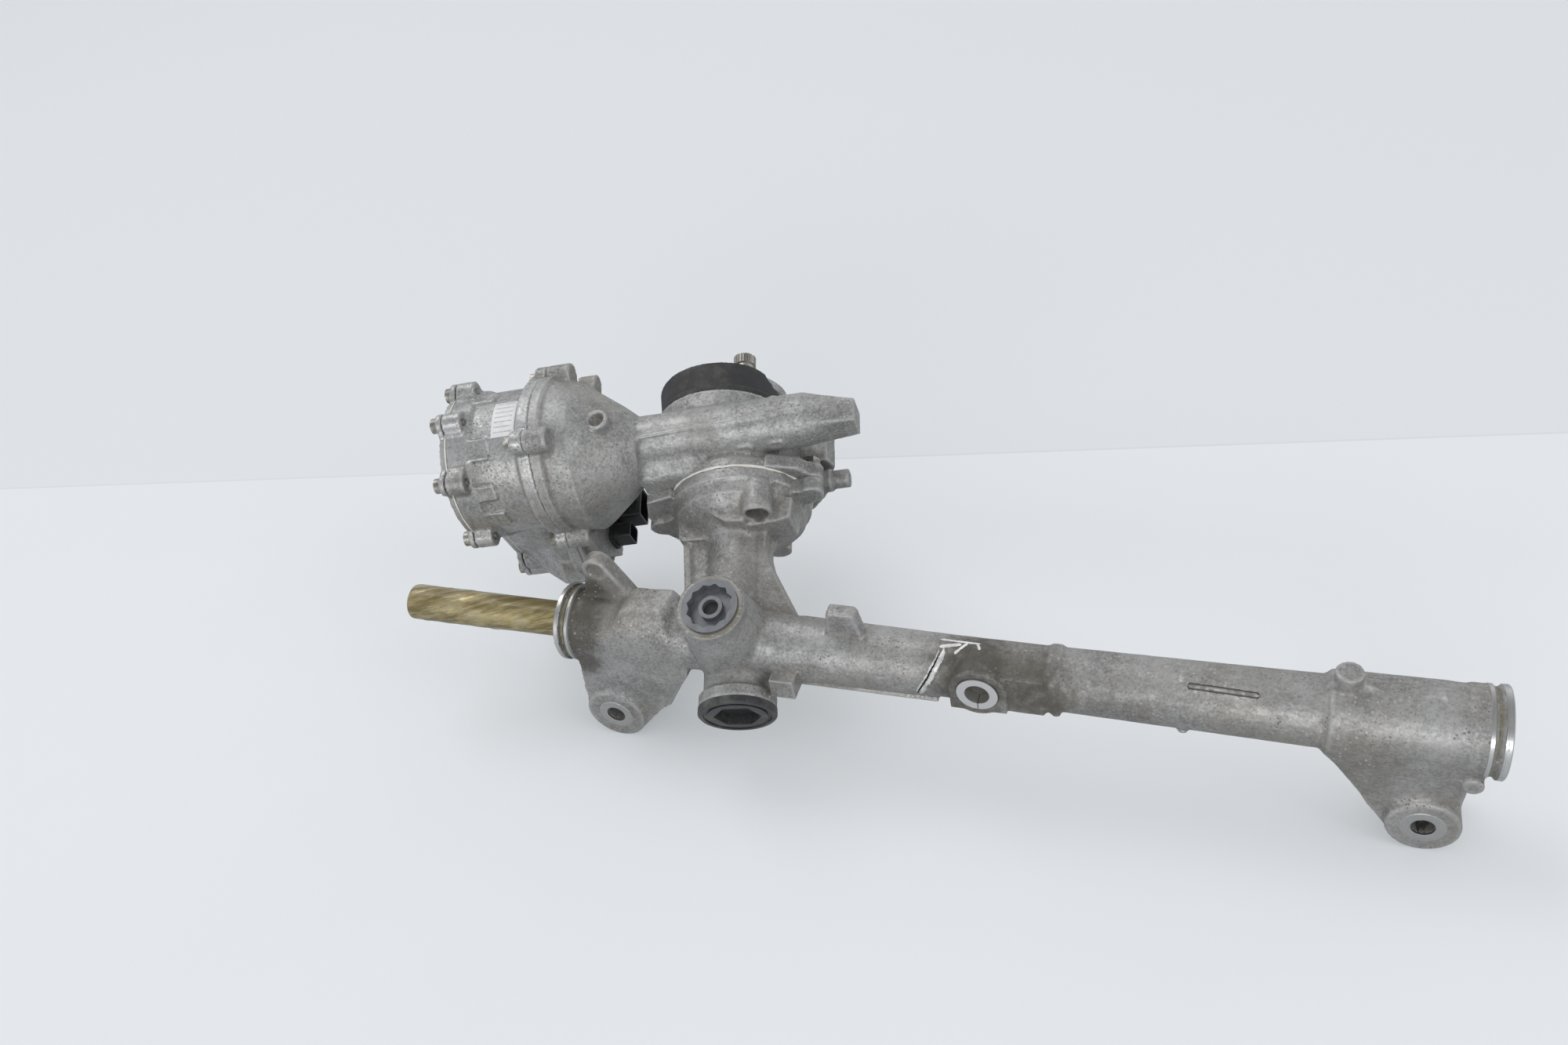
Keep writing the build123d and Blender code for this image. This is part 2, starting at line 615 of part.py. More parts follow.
# ---------------------------------------------------------------- pinion bearings
with BuildPart() as pinion_outer_rings:
    with Locations(gear_at(low_race), gear_at(high_race)):
        Cylinder(race_outer, race_width, align=middle_up)
    with Locations(gear_at(top_race)):
        Cylinder(20, race_width, align=middle_up)
    with Locations(gear_at(low_race), gear_at(high_race)):
        Cylinder(race_outer - 2.4, race_width, align=middle_up, mode=Mode.SUBTRACT)
    with Locations(gear_at(top_race)):
        Cylinder(17, race_width, align=middle_up, mode=Mode.SUBTRACT)
pinion_outer_rings.part.label = "pinion_outer_rings"
export_step(pinion_outer_rings.part, "parts/pinion_outer_rings.step")

with BuildPart() as pinion_ball_rings:
    with Locations(gear_at(low_race + 2)):
        Cylinder(race_outer - 2.7, race_width - 4, align=middle_up)
        Cylinder(9.3, race_width - 4, align=middle_up, mode=Mode.SUBTRACT)
    with Locations(gear_at(high_race + 2)):
        Cylinder(race_outer - 2.7, race_width - 4, align=middle_up)
        Cylinder(11.3, race_width - 4, align=middle_up, mode=Mode.SUBTRACT)
    with Locations(gear_at(top_race + 2)):
        Cylinder(16.7, race_width - 4, align=middle_up)
        Cylinder(11.8, race_width - 4, align=middle_up, mode=Mode.SUBTRACT)
pinion_ball_rings.part.label = "pinion_ball_rings"
export_step(pinion_ball_rings.part, "parts/pinion_ball_rings.step")

with BuildPart() as pinion_inner_rings:
    with Locations(gear_at(low_race)):
        Cylinder(9, race_width, align=middle_up)
        Cylinder(6, race_width, align=middle_up, mode=Mode.SUBTRACT)
    with Locations(gear_at(high_race)):
        Cylinder(11, race_width, align=middle_up)
        Cylinder(pinion_shaft_radius, race_width, align=middle_up, mode=Mode.SUBTRACT)
    with Locations(gear_at(top_race)):
        Cylinder(11.5, race_width, align=middle_up)
        Cylinder(wheel_seat_radius, race_width, align=middle_up, mode=Mode.SUBTRACT)
pinion_inner_rings.part.label = "pinion_inner_rings"
export_step(pinion_inner_rings.part, "parts/pinion_inner_rings.step")

with BuildPart() as bearing_clip:
    with Locations(gear_at(high_race + race_width)):
        Cylinder(17, 1.6, align=middle_up)
        Cylinder(14.4, 1.6, align=middle_up, mode=Mode.SUBTRACT)
    with Locations(gear_at(high_race + race_width + 0.8).offset(0)):
        with Locations((16, 0, 0)):
            Box(6, 5, 4, mode=Mode.SUBTRACT)
bearing_clip.part.label = "bearing_clip"
export_step(bearing_clip.part, "parts/bearing_clip.step")

# ---------------------------------------------------------------- worm wheel: steel hub, plastic rim, nut
hub_radius = 29.0
with BuildPart() as wheel_hub:
    with Locations(gear_at(worm_height - wheel_half)):
        Cylinder(hub_radius, 2 * wheel_half, align=middle_up)
    with Locations(gear_at(worm_height - wheel_half)):
        Cylinder(hub_radius - 5, 5, align=middle_up, mode=Mode.SUBTRACT)
        Cylinder(15, 5, align=middle_up)
    with Locations(gear_at(worm_height + wheel_half)):
        Cylinder(hub_radius - 5, 5, align=middle_down, mode=Mode.SUBTRACT)
        Cylinder(15, 5, align=middle_down)
    with Locations(gear_at(worm_height - wheel_half)):
        Cylinder(wheel_seat_radius, 2 * wheel_half, align=middle_up, mode=Mode.SUBTRACT)
        with PolarLocations(19.5, 6):
            Cylinder(2.6, 2 * wheel_half, align=middle_up, mode=Mode.SUBTRACT)
wheel_hub.part.label = "wheel_hub"
export_step(wheel_hub.part, "parts/wheel_hub.step")

wheel_tip = wheel_pitch + wheel_module
wheel_root = wheel_pitch - 1.2 * wheel_module
wheel_play = 0.14
wheel_twist = 2 * wheel_half * lead_angle / wheel_pitch


def wheel_outline(turn):
    """Closed outline of the toothed rim, turned by an angle in radians about the pinion."""
    points = []
    for tooth in range(wheel_teeth):
        center = turn - pi / 2 + 2 * pi * (tooth + 0.5) / wheel_teeth
        for radius, half in ((wheel_root, 2.34), (wheel_tip, 0.82)):
            spread = (half - wheel_play) / radius
            points.append((radius * cos(center - spread), radius * sin(center - spread)))
        for radius, half in ((wheel_tip, 0.82), (wheel_root, 2.34)):
            spread = (half - wheel_play) / radius
            points.append((radius * cos(center + spread), radius * sin(center + spread)))
    return points + points[:1]


with BuildPart() as wheel_rim:
    with BuildSketch(gear_at(worm_height - wheel_half)):
        with BuildLine():
            Polyline(*wheel_outline(-wheel_twist / 2))
        make_face()
    with BuildSketch(gear_at(worm_height)):
        with BuildLine():
            Polyline(*wheel_outline(0))
        make_face()
    with BuildSketch(gear_at(worm_height + wheel_half)):
        with BuildLine():
            Polyline(*wheel_outline(wheel_twist / 2))
        make_face()
    loft(ruled=True)
    with Locations(gear_at(worm_height - wheel_half)):
        Cylinder(hub_radius, 2 * wheel_half, align=middle_up, mode=Mode.SUBTRACT)
wheel_rim.part.label = "wheel_rim"
export_step(wheel_rim.part, "parts/wheel_rim.step")

with BuildPart() as wheel_nut:
    with BuildSketch(gear_at(worm_height + wheel_half)):
        RegularPolygon(radius=14, side_count=6)
        Circle(wheel_seat_radius, mode=Mode.SUBTRACT)
    extrude(amount=7)
wheel_nut.part.label = "wheel_nut"
export_step(wheel_nut.part, "parts/wheel_nut.step")

# ---------------------------------------------------------------- torsion bar, input shaft, sensor
with BuildPart() as torsion_bar:
    with Locations(gear_at(62)):
        Cylinder(3, input_top - 14 - 62, align=middle_up)
        Cylinder(torsion_bore - running_gap, 16, align=middle_up)
    with Locations(gear_at(input_top - 14)):
        Cylinder(torsion_bore - running_gap, 14, align=middle_down)
torsion_bar.part.label = "torsion_bar"
export_step(torsion_bar.part, "parts/torsion_bar.step")

input_radius = 10.0           # journal in the bushing and the seal
clamp_radius = 9.5            # smooth seat for the column joint
clamp_start = cover_top + 2
clamp_length = 9.0
spline_radius = 8.9
spline_count = 24
bolt_groove_start = input_top - 13
bolt_groove_width = 5.0
bolt_groove_radius = 7.6
with BuildPart() as input_shaft:
    with Locations(gear_at(input_base)):
        Cylinder(input_radius, clamp_start - input_base, align=middle_up)
    with Locations(gear_at(clamp_start)):
        Cylinder(clamp_radius, clamp_length, align=middle_up)
    with BuildSketch(gear_at(clamp_start + clamp_length)):
        Circle(spline_radius)
        with PolarLocations(spline_radius, spline_count):
            RegularPolygon(radius=0.9, side_count=3, rotation=180, mode=Mode.SUBTRACT)
    extrude(amount=input_top - clamp_start - clamp_length)
    with Locations(gear_at(bolt_groove_start)):
        Cylinder(input_radius + 1, bolt_groove_width, align=middle_up, mode=Mode.SUBTRACT)
        Cylinder(bolt_groove_radius, bolt_groove_width, align=middle_up)
    with Locations(gear_at(input_base)):
        Cylinder(nose_radius + 0.1, nose_top + 1 - input_base, align=middle_up, mode=Mode.SUBTRACT)
    with Locations(gear_at(nose_top)):
        Cylinder(torsion_bore, input_top - 11.5 - nose_top, align=middle_up, mode=Mode.SUBTRACT)
input_shaft.part.label = "input_shaft"
export_step(input_shaft.part, "parts/input_shaft.step")

with BuildPart() as sensor_cup:
    with Locations(gear_at(nose_height + seat_gap)):
        Cylinder(17, 13, align=middle_up)
    with Locations(gear_at(nose_height + seat_gap + 2)):
        Cylinder(15, 12, align=middle_up, mode=Mode.SUBTRACT)
    with Locations(gear_at(nose_height)):
        Cylinder(nose_radius, 5, align=middle_up, mode=Mode.SUBTRACT)
    with Locations(gear_at(nose_height + 12)):
        with PolarLocations(16, 8):
            Box(4, 4, 7, mode=Mode.SUBTRACT)
sensor_cup.part.label = "sensor_cup"
export_step(sensor_cup.part, "parts/sensor_cup.step")

with BuildPart() as sensor_magnet:
    with Locations(gear_at(input_base + 1.5)):
        Cylinder(14, 8, align=middle_up)
        Cylinder(input_radius, 8, align=middle_up, mode=Mode.SUBTRACT)
sensor_magnet.part.label = "sensor_magnet"
export_step(sensor_magnet.part, "parts/sensor_magnet.step")

with BuildPart() as sensor_block:
    with Locations(gear_at(nose_height)):
        Cylinder(27, 16, align=middle_up)
        Cylinder(18.4, 16, align=middle_up, mode=Mode.SUBTRACT)
    with Locations(gear_at(nose_height + 8)):
        with Locations((0, 24, 0)):
            Box(60, 26, 40, mode=Mode.SUBTRACT)
sensor_block.part.label = "sensor_block"
export_step(sensor_block.part, "parts/sensor_block.step")

with BuildPart() as sensor_cover:
    with Locations(gear_at(neck_top)):
        Cylinder(neck_radius, cover_top - neck_top, align=middle_up)
    chamfer(sensor_cover.edges().filter_by(GeomType.CIRCLE).group_by(pinion_axis)[-1], length=3)
    with Locations(gear_at(neck_top)):
        Cylinder(13, 5, align=middle_up, mode=Mode.SUBTRACT)
        Cylinder(input_radius + 0.6, 20, align=middle_up, mode=Mode.SUBTRACT)
    with Locations(gear_at(neck_top + 5)):
        Cylinder(15, 10, align=middle_up, mode=Mode.SUBTRACT)
sensor_cover.part.label = "sensor_cover"
export_step(sensor_cover.part, "parts/sensor_cover.step")

with BuildPart() as input_bushing:
    with Locations(gear_at(neck_top)):
        Cylinder(13, 5, align=middle_up)
        Cylinder(input_radius + running_gap, 5, align=middle_up, mode=Mode.SUBTRACT)
input_bushing.part.label = "input_bushing"
export_step(input_bushing.part, "parts/input_bushing.step")

with BuildPart() as input_seal:
    with Locations(gear_at(neck_top + 5)):
        Cylinder(15, 5, align=middle_up)
        Cylinder(input_radius + 0.08, 5, align=middle_up, mode=Mode.SUBTRACT)
    with Locations(gear_at(neck_top + 8.4)):
        Cylinder(13, 2, align=middle_up, mode=Mode.SUBTRACT)
        Cylinder(11, 1.6, align=middle_up)
        Cylinder(input_radius + 0.08, 2, align=middle_up, mode=Mode.SUBTRACT)
input_seal.part.label = "input_seal"
export_step(input_seal.part, "parts/input_seal.step")

seal_shift = (-12.0, -8.0)
seal_base_radius = 50.0
# (height over the plate, radius, centre)
seal_sections = [
    (0.0, 50.0, seal_shift), (5.0, 50.0, seal_shift), (6.0, 48.5, (-12.5, -7.0)),
    (31.0, 50.0, (-15.5, -1.0))]
with BuildPart() as dash_seal:
    for height, radius, shift in seal_sections:
        with BuildSketch(gear_at(plate_top + height)):
            with Locations(shift):
                Circle(radius)
    loft(ruled=True)
    with Locations(gear_at(plate_top)):
        Cylinder(neck_radius, 60, align=middle_up, mode=Mode.SUBTRACT)
    # hollow under the lip, open at the top
    with Locations(gear_at(plate_top + 22)):
        Cylinder(neck_radius + 4.5, 20, align=middle_up, mode=Mode.SUBTRACT)
dash_seal.part.label = "dash_seal"
export_step(dash_seal.part, "parts/dash_seal.step")

# ---------------------------------------------------------------- worm housing casting with bell and neck
lobe_half = 32.0
lobe_low = -108.0
lobe_high = -20.0
board_center = (0.0, -80.0)
flange_ears = [(-24.0, 57.0), (50.0, 29.0), (-54.0, -30.0)]
flange_ear_radius = 9.0
bell_plate = 12.0
stub_height = joint_height + 9
# (along the worm, radius, shift of the circle across the worm)
bell_sections = [
    (-61.0, 22.8, -4.0, -2.4), (-75.0, 35.0, -4.5, -2.5), (-95.0, 50.0, -5.0, -3.0),
    (-101.0, 54.5, -4.5, -2.5), (-109.0, 55.5, -2.5, -1.5), (-120.0, 56.0, 0.0, 0.0)]
bell_cavity = [
    (-64.0, 16.5, 0.0, 0.0), (-75.0, 25.0, -2.0, -1.0), (-95.0, 39.5, -3.0, -2.0),
    (-104.0, 44.0, -1.5, -1.0), (-109.0, 46.0, 0.0, 0.0), (bell_left, 46.5, 0.0, 0.0)]
lobe_flange_outline = [
    (-46, -20), (-52, -32), (-64, -62), (-63, -82), (-52, -97), (-34, -110), (28, -110), (38, -100),
    (38, -20), (-46, -20)]
lobe_plate_outline = [
    (-45, -20), (-50, -34), (-55, -60), (-51, -74), (-33, -106), (28, -106), (34, -98), (34, -20),
    (-45, -20)]
pocket_at = (-82.5, -3.0)     # screw pocket on the bell
power_center = (-1.5, -86.0)
signal_center = (-26.0, -84.0)
with BuildPart() as worm_housing:
    # ring over the gear bowl and the dome above the wheel
    with BuildSketch(gear_side):
        with BuildLine():
            Polyline(
                (0, joint_height), (ring_radius, joint_height), (ring_radius, joint_height + 8),
                (49.5, joint_height + 12), (48.5, worm_height + 10), (44, worm_height + 22),
                (0, worm_height + 22), (0, joint_height))
        make_face()
    revolve(axis=pinion_axis)
    # worm tube with its tapered right tip
    with Locations(worm_at(bell_right - 6)):
        Cylinder(worm_housing_radius, worm_housing_right - bell_right + 6, align=middle_up)
    with BuildSketch(worm_at(worm_housing_right)):
        Circle(worm_housing_radius)
    with BuildSketch(worm_at(worm_tip)):
        with Locations((-5, 2)):
            Rectangle(18, 20)
    loft()
    # bell over the coupling, narrowing to the worm tube and hanging a little low
    for along, radius, shift_x, shift_y in bell_sections:
        with BuildSketch(worm_at(along)):
            with Locations((shift_x, shift_y)):
                Circle(radius)
    loft(ruled=True)
    with Locations(worm_at(bell_left)):
        Cylinder(flange_radius, 8, align=middle_up)
    # lower lobe plate that carries the sockets
    with BuildSketch(worm_at(bell_left)):
        with BuildLine():
            Polyline(*lobe_flange_outline)
        make_face()
    extrude(amount=4)
    with BuildSketch(worm_at(bell_left)):
        with BuildLine():
            Polyline(*lobe_plate_outline)
        make_face()
    extrude(amount=bell_plate)
    # flange ears
    with BuildSketch(worm_at(bell_left)):
        with Locations(*flange_ears):
            Circle(flange_ear_radius)
        with Locations(*[(0.84 * ear_x, 0.84 * ear_y) for ear_x, ear_y in flange_ears]):
            Circle(flange_ear_radius + 2)
    extrude(amount=18)
    # second small top boss
    with Locations(worm_at(-112)):
        with Locations((54, 8, 0)):
            Cylinder(7, 14, align=middle_up)
        with Locations((46, 8, 0)):
            Cylinder(9, 14, align=middle_up)
    # ears on the gear ring
    with BuildSketch(gear_at(joint_height)):
        for ear_x, ear_y in ear_points:
            with Locations((ear_x, ear_y)):
                Circle(ear_radius)
            with Locations((ear_x * 0.8, ear_y * 0.8)):
                Circle(ear_radius + 2)
    extrude(amount=ear_top)
    # right shoulder of the ring
    with BuildSketch(gear_at(joint_height)):
        with BuildLine():
            Polyline((30, -46), (52, -36), (64, -18), (64, 6), (50, 24), (30, 30), (30, -46))
        make_face()
    extrude(amount=11)
    # sensor neck, its egg-shaped plate and plate ear
    with Locations(gear_at(worm_height + 15)):
        Cylinder(neck_radius, neck_top - worm_height - 15, align=middle_up)
    with BuildSketch(gear_at(plate_top - 14)):
        with Locations(seal_shift):
            Circle(seal_base_radius + 1.5)
        with Locations((-60, -30)):
            Circle(7)
        with Locations((34, -34)):
            Circle(7)
        with Locations((20, -26)):
            Circle(14)
    extrude(amount=14)
    with BuildSketch(gear_at(worm_height - 10)):
        Circle(46)
    with BuildSketch(gear_at(worm_height + 20)):
        with Locations(seal_shift):
            Circle(seal_base_radius - 2)
    loft(ruled=True)
    # fin along the worm tube
    with BuildSketch(worm_side.offset(15)):
        with BuildLine():
            Polyline((-62, -9.3), (66, -4), (66, -1.5), (-62, -6.8), (-62, -9.3))
        make_face()
    extrude(amount=5)
    # two oval pads low on the tube's front
    with BuildSketch(Plane(origin=worm_point, x_dir=worm_dir, z_dir=-pinion_dir)):
        with Locations((17, 2), (40.5, 2)):
            SlotOverall(13, 8)
    extrude(amount=worm_housing_radius + 0.6)
    # boss round the screw pocket on the bell
    with Locations(worm_side):
        with Locations((pocket_at[0], pocket_at[1], 24)):
            Cylinder(8.5, 18.5, align=middle_up)
    # right rear block and stub
    with BuildSketch(gear_at(joint_height + 20)):
        with BuildLine():
            Polyline((38, -14), (68, -12), (72, 0), (66, 13), (38, 16), (38, -14))
        make_face()
    extrude(amount=26)
    with Locations(Plane(origin=gear_at(stub_height).origin + worm_dir * 40, z_dir=worm_dir)):
        Cylinder(8.6, 30, align=middle_up)
        Cylinder(6.9, 43, align=middle_up)

    # ---- cavities
    with Locations(gear_at(joint_height)):
        Cylinder(wheel_cavity, worm_height + 16 - joint_height, align=middle_up, mode=Mode.SUBTRACT)
    with Locations(gear_at(worm_height + 10)):
        Cylinder(16, 12, align=middle_up, mode=Mode.SUBTRACT)
    with Locations(gear_at(top_race)):
        Cylinder(20, race_width + 2, align=middle_up, mode=Mode.SUBTRACT)
    with Locations(gear_at(nose_height)):
        Cylinder(28, neck_top - nose_height + 1, align=middle_up, mode=Mode.SUBTRACT)
    with Locations(worm_at(50)):
        Cylinder(worm_bore, 50 - bell_left, align=middle_down, mode=Mode.SUBTRACT)
    for along, radius, shift_x, shift_y in bell_cavity:
        with BuildSketch(worm_at(along)):
            with Locations((shift_x, shift_y)):
                Circle(radius)
    loft(ruled=True, mode=Mode.SUBTRACT)
    with BuildSketch(worm_at(bell_left)):
        with Locations(board_center):
            RectangleRounded(2 * lobe_half - 8, 46, 5)
    extrude(amount=bell_plate - 5, mode=Mode.SUBTRACT)
    with BuildSketch(worm_at(bell_left)):
        with Locations(power_center):
            Rectangle(20, 14)
        with Locations(signal_center):
            Rectangle(8, 11)
    extrude(amount=bell_plate, mode=Mode.SUBTRACT)
    with Locations(worm_at(bell_left)):
        with Locations(*[(ear_x, ear_y, 0) for ear_x, ear_y in flange_ears]):
            Cylinder(bolt_m6, 14, align=middle_up, mode=Mode.SUBTRACT)
    with Locations(gear_at(joint_height)):
        with Locations(*[(ear_x, ear_y, 0) for ear_x, ear_y in ear_points]):
            Cylinder(bolt_m8 + 0.3, ear_top, align=middle_up, mode=Mode.SUBTRACT)
    # screw pocket, and the hollows of the two oval pads
    with Locations(worm_side.offset(36)):
        with Locations((pocket_at[0], pocket_at[1], 0)):
            Cylinder(5.5, 20, align=middle_up, mode=Mode.SUBTRACT)
    with BuildSketch(Plane(origin=worm_point - pinion_dir * worm_housing_radius, x_dir=worm_dir, z_dir=-pinion_dir)):
        with Locations((17, 2), (40.5, 2)):
            SlotOverall(9, 4)
    extrude(amount=2, mode=Mode.SUBTRACT)
    # blind hole in the stub's end
    with Locations(Plane(origin=gear_at(stub_height).origin + worm_dir * 83, z_dir=-worm_dir)):
        Cylinder(3.2, 12, align=middle_up, mode=Mode.SUBTRACT)
worm_housing.part.label = "worm_housing"
export_step(worm_housing.part, "parts/worm_housing.step")
print("worm_housing", len(worm_housing.part.solids()))

# ---------------------------------------------------------------- sealant bead, bowl bolts
with BuildPart() as joint_bead:
    with Locations(gear_at(joint_height - 1.2)):
        Cylinder(ring_radius + 1.2, 2.4, align=middle_up)
        Cylinder(ring_radius, 2.4, align=middle_up, mode=Mode.SUBTRACT)
    add(rack_housing.part, mode=Mode.SUBTRACT)
    add(worm_housing.part, mode=Mode.SUBTRACT)
    for ear_x, ear_y in ear_points:
        with Locations(gear_at(joint_height - 5)):
            with Locations((ear_x, ear_y, 0)):
                Cylinder(ear_radius, 10, align=middle_up, mode=Mode.SUBTRACT)
joint_bead.part.label = "joint_bead"
export_step(joint_bead.part, "parts/joint_bead.step")
print("joint_bead", len(joint_bead.part.solids()))

with BuildPart() as bowl_bolts:
    for (ear_x, ear_y), ear_depth in zip(ear_points, ear_depths):
        with Locations(gear_at(joint_height + ear_top)):
            with Locations((ear_x, ear_y, 0)):
                Cylinder(8, bolt_washer, align=middle_up)
                Cylinder(bolt_m8, ear_top + ear_depth - 2.5, align=middle_down)
        with BuildSketch(gear_at(joint_height + ear_top + bolt_washer)):
            with Locations((ear_x, ear_y)):
                RegularPolygon(radius=7.2, side_count=6)
        extrude(amount=5)
bowl_bolts.part.label = "bowl_bolts"
export_step(bowl_bolts.part, "parts/bowl_bolts.step")

# ---------------------------------------------------------------- worm shaft
worm_half = 21.0
worm_tip_radius = worm_pitch + 1.8
worm_root_radius = worm_pitch - 2.4
thread_root = 2.3
thread_tip = 0.84
with BuildLine() as thread_probe:
    Helix(pitch=worm_lead, height=1, radius=worm_root_radius, center=worm_point, direction=worm_dir)
probe_arm = (thread_probe.line @ 0) - worm_point
probe_angle = atan2(probe_arm.dot(yoke_dir), probe_arm.dot(pinion_dir))
# the thread's crest faces the wheel at mid length
thread_start = (probe_angle + pi / 2) / (2 * pi) * worm_lead - 2 * worm_lead
with BuildPart() as worm_shaft:
    with Locations(worm_at(-worm_half - 4)):
        Cylinder(worm_root_radius, 2 * worm_half + 8, align=middle_up)
    with Locations(worm_at(-60)):
        Cylinder(6.5, 110, align=middle_up)
    for start in range(worm_starts):
        thread_from = worm_at(thread_start + worm_lead * start / worm_starts).origin
        with BuildLine() as thread_path:
            Helix(pitch=worm_lead, height=3 * worm_lead, radius=worm_root_radius, center=thread_from,
                  direction=worm_dir)
        thread_out = (thread_path.line @ 0) - thread_from
        with BuildSketch(Plane(origin=thread_path.line @ 0, x_dir=thread_out, z_dir=thread_path.line % 0)):
            with BuildLine():
                Polyline(
                    (-0.5, -thread_root), (worm_tip_radius - worm_root_radius, -thread_tip),
                    (worm_tip_radius - worm_root_radius, thread_tip), (-0.5, thread_root),
                    (-0.5, -thread_root))
            make_face()
        sweep(path=thread_path.line, is_frenet=True)
worm_shaft.part.label = "worm_shaft"
export_step(worm_shaft.part, "parts/worm_shaft.step")
print("worm_shaft", len(worm_shaft.part.solids()), worm_shaft.part.volume)

# ---------------------------------------------------------------- worm bearings
worm_races = (-48.0, 37.0)
with BuildPart() as worm_outer_rings:
    with Locations(*[worm_at(along) for along in worm_races]):
        Cylinder(worm_bore, 11, align=middle_up)
    with Locations(*[worm_at(along) for along in worm_races]):
        Cylinder(worm_bore - 2.2, 11, align=middle_up, mode=Mode.SUBTRACT)
worm_outer_rings.part.label = "worm_outer_rings"
export_step(worm_outer_rings.part, "parts/worm_outer_rings.step")

with BuildPart() as worm_ball_rings:
    with Locations(*[worm_at(along + 2) for along in worm_races]):
        Cylinder(worm_bore - 2.5, 7, align=middle_up)
    with Locations(*[worm_at(along + 2) for along in worm_races]):
        Cylinder(9.0, 7, align=middle_up, mode=Mode.SUBTRACT)
worm_ball_rings.part.label = "worm_ball_rings"
export_step(worm_ball_rings.part, "parts/worm_ball_rings.step")

with BuildPart() as worm_inner_rings:
    with Locations(*[worm_at(along) for along in worm_races]):
        Cylinder(8.7, 11, align=middle_up)
    with Locations(*[worm_at(along) for along in worm_races]):
        Cylinder(6.5, 11, align=middle_up, mode=Mode.SUBTRACT)
worm_inner_rings.part.label = "worm_inner_rings"
export_step(worm_inner_rings.part, "parts/worm_inner_rings.step")

with BuildPart() as worm_clip:
    with Locations(worm_at(-50)):
        Cylinder(worm_bore, 2, align=middle_up)
        Cylinder(12, 2, align=middle_up, mode=Mode.SUBTRACT)
worm_clip.part.label = "worm_clip"
export_step(worm_clip.part, "parts/worm_clip.step")

# ---------------------------------------------------------------- coupling
with BuildPart() as coupling_hubs:
    with Locations(worm_at(-66)):
        Cylinder(12.5, 8, align=middle_up)
    with Locations(worm_at(-60)):
        Cylinder(6.5, 4, align=middle_up, mode=Mode.SUBTRACT)
    with Locations(worm_at(-82)):
        Cylinder(12.5, 9, align=middle_up)
        Cylinder(6, 9, align=middle_up, mode=Mode.SUBTRACT)
coupling_hubs.part.label = "coupling_hubs"
export_step(coupling_hubs.part, "parts/coupling_hubs.step")

with BuildPart() as coupling_spider:
    with BuildSketch(worm_at(-73)):
        Circle(8)
        with PolarLocations(9, 6):
            Circle(3.2)
    extrude(amount=7)
coupling_spider.part.label = "coupling_spider"
export_step(coupling_spider.part, "parts/coupling_spider.step")

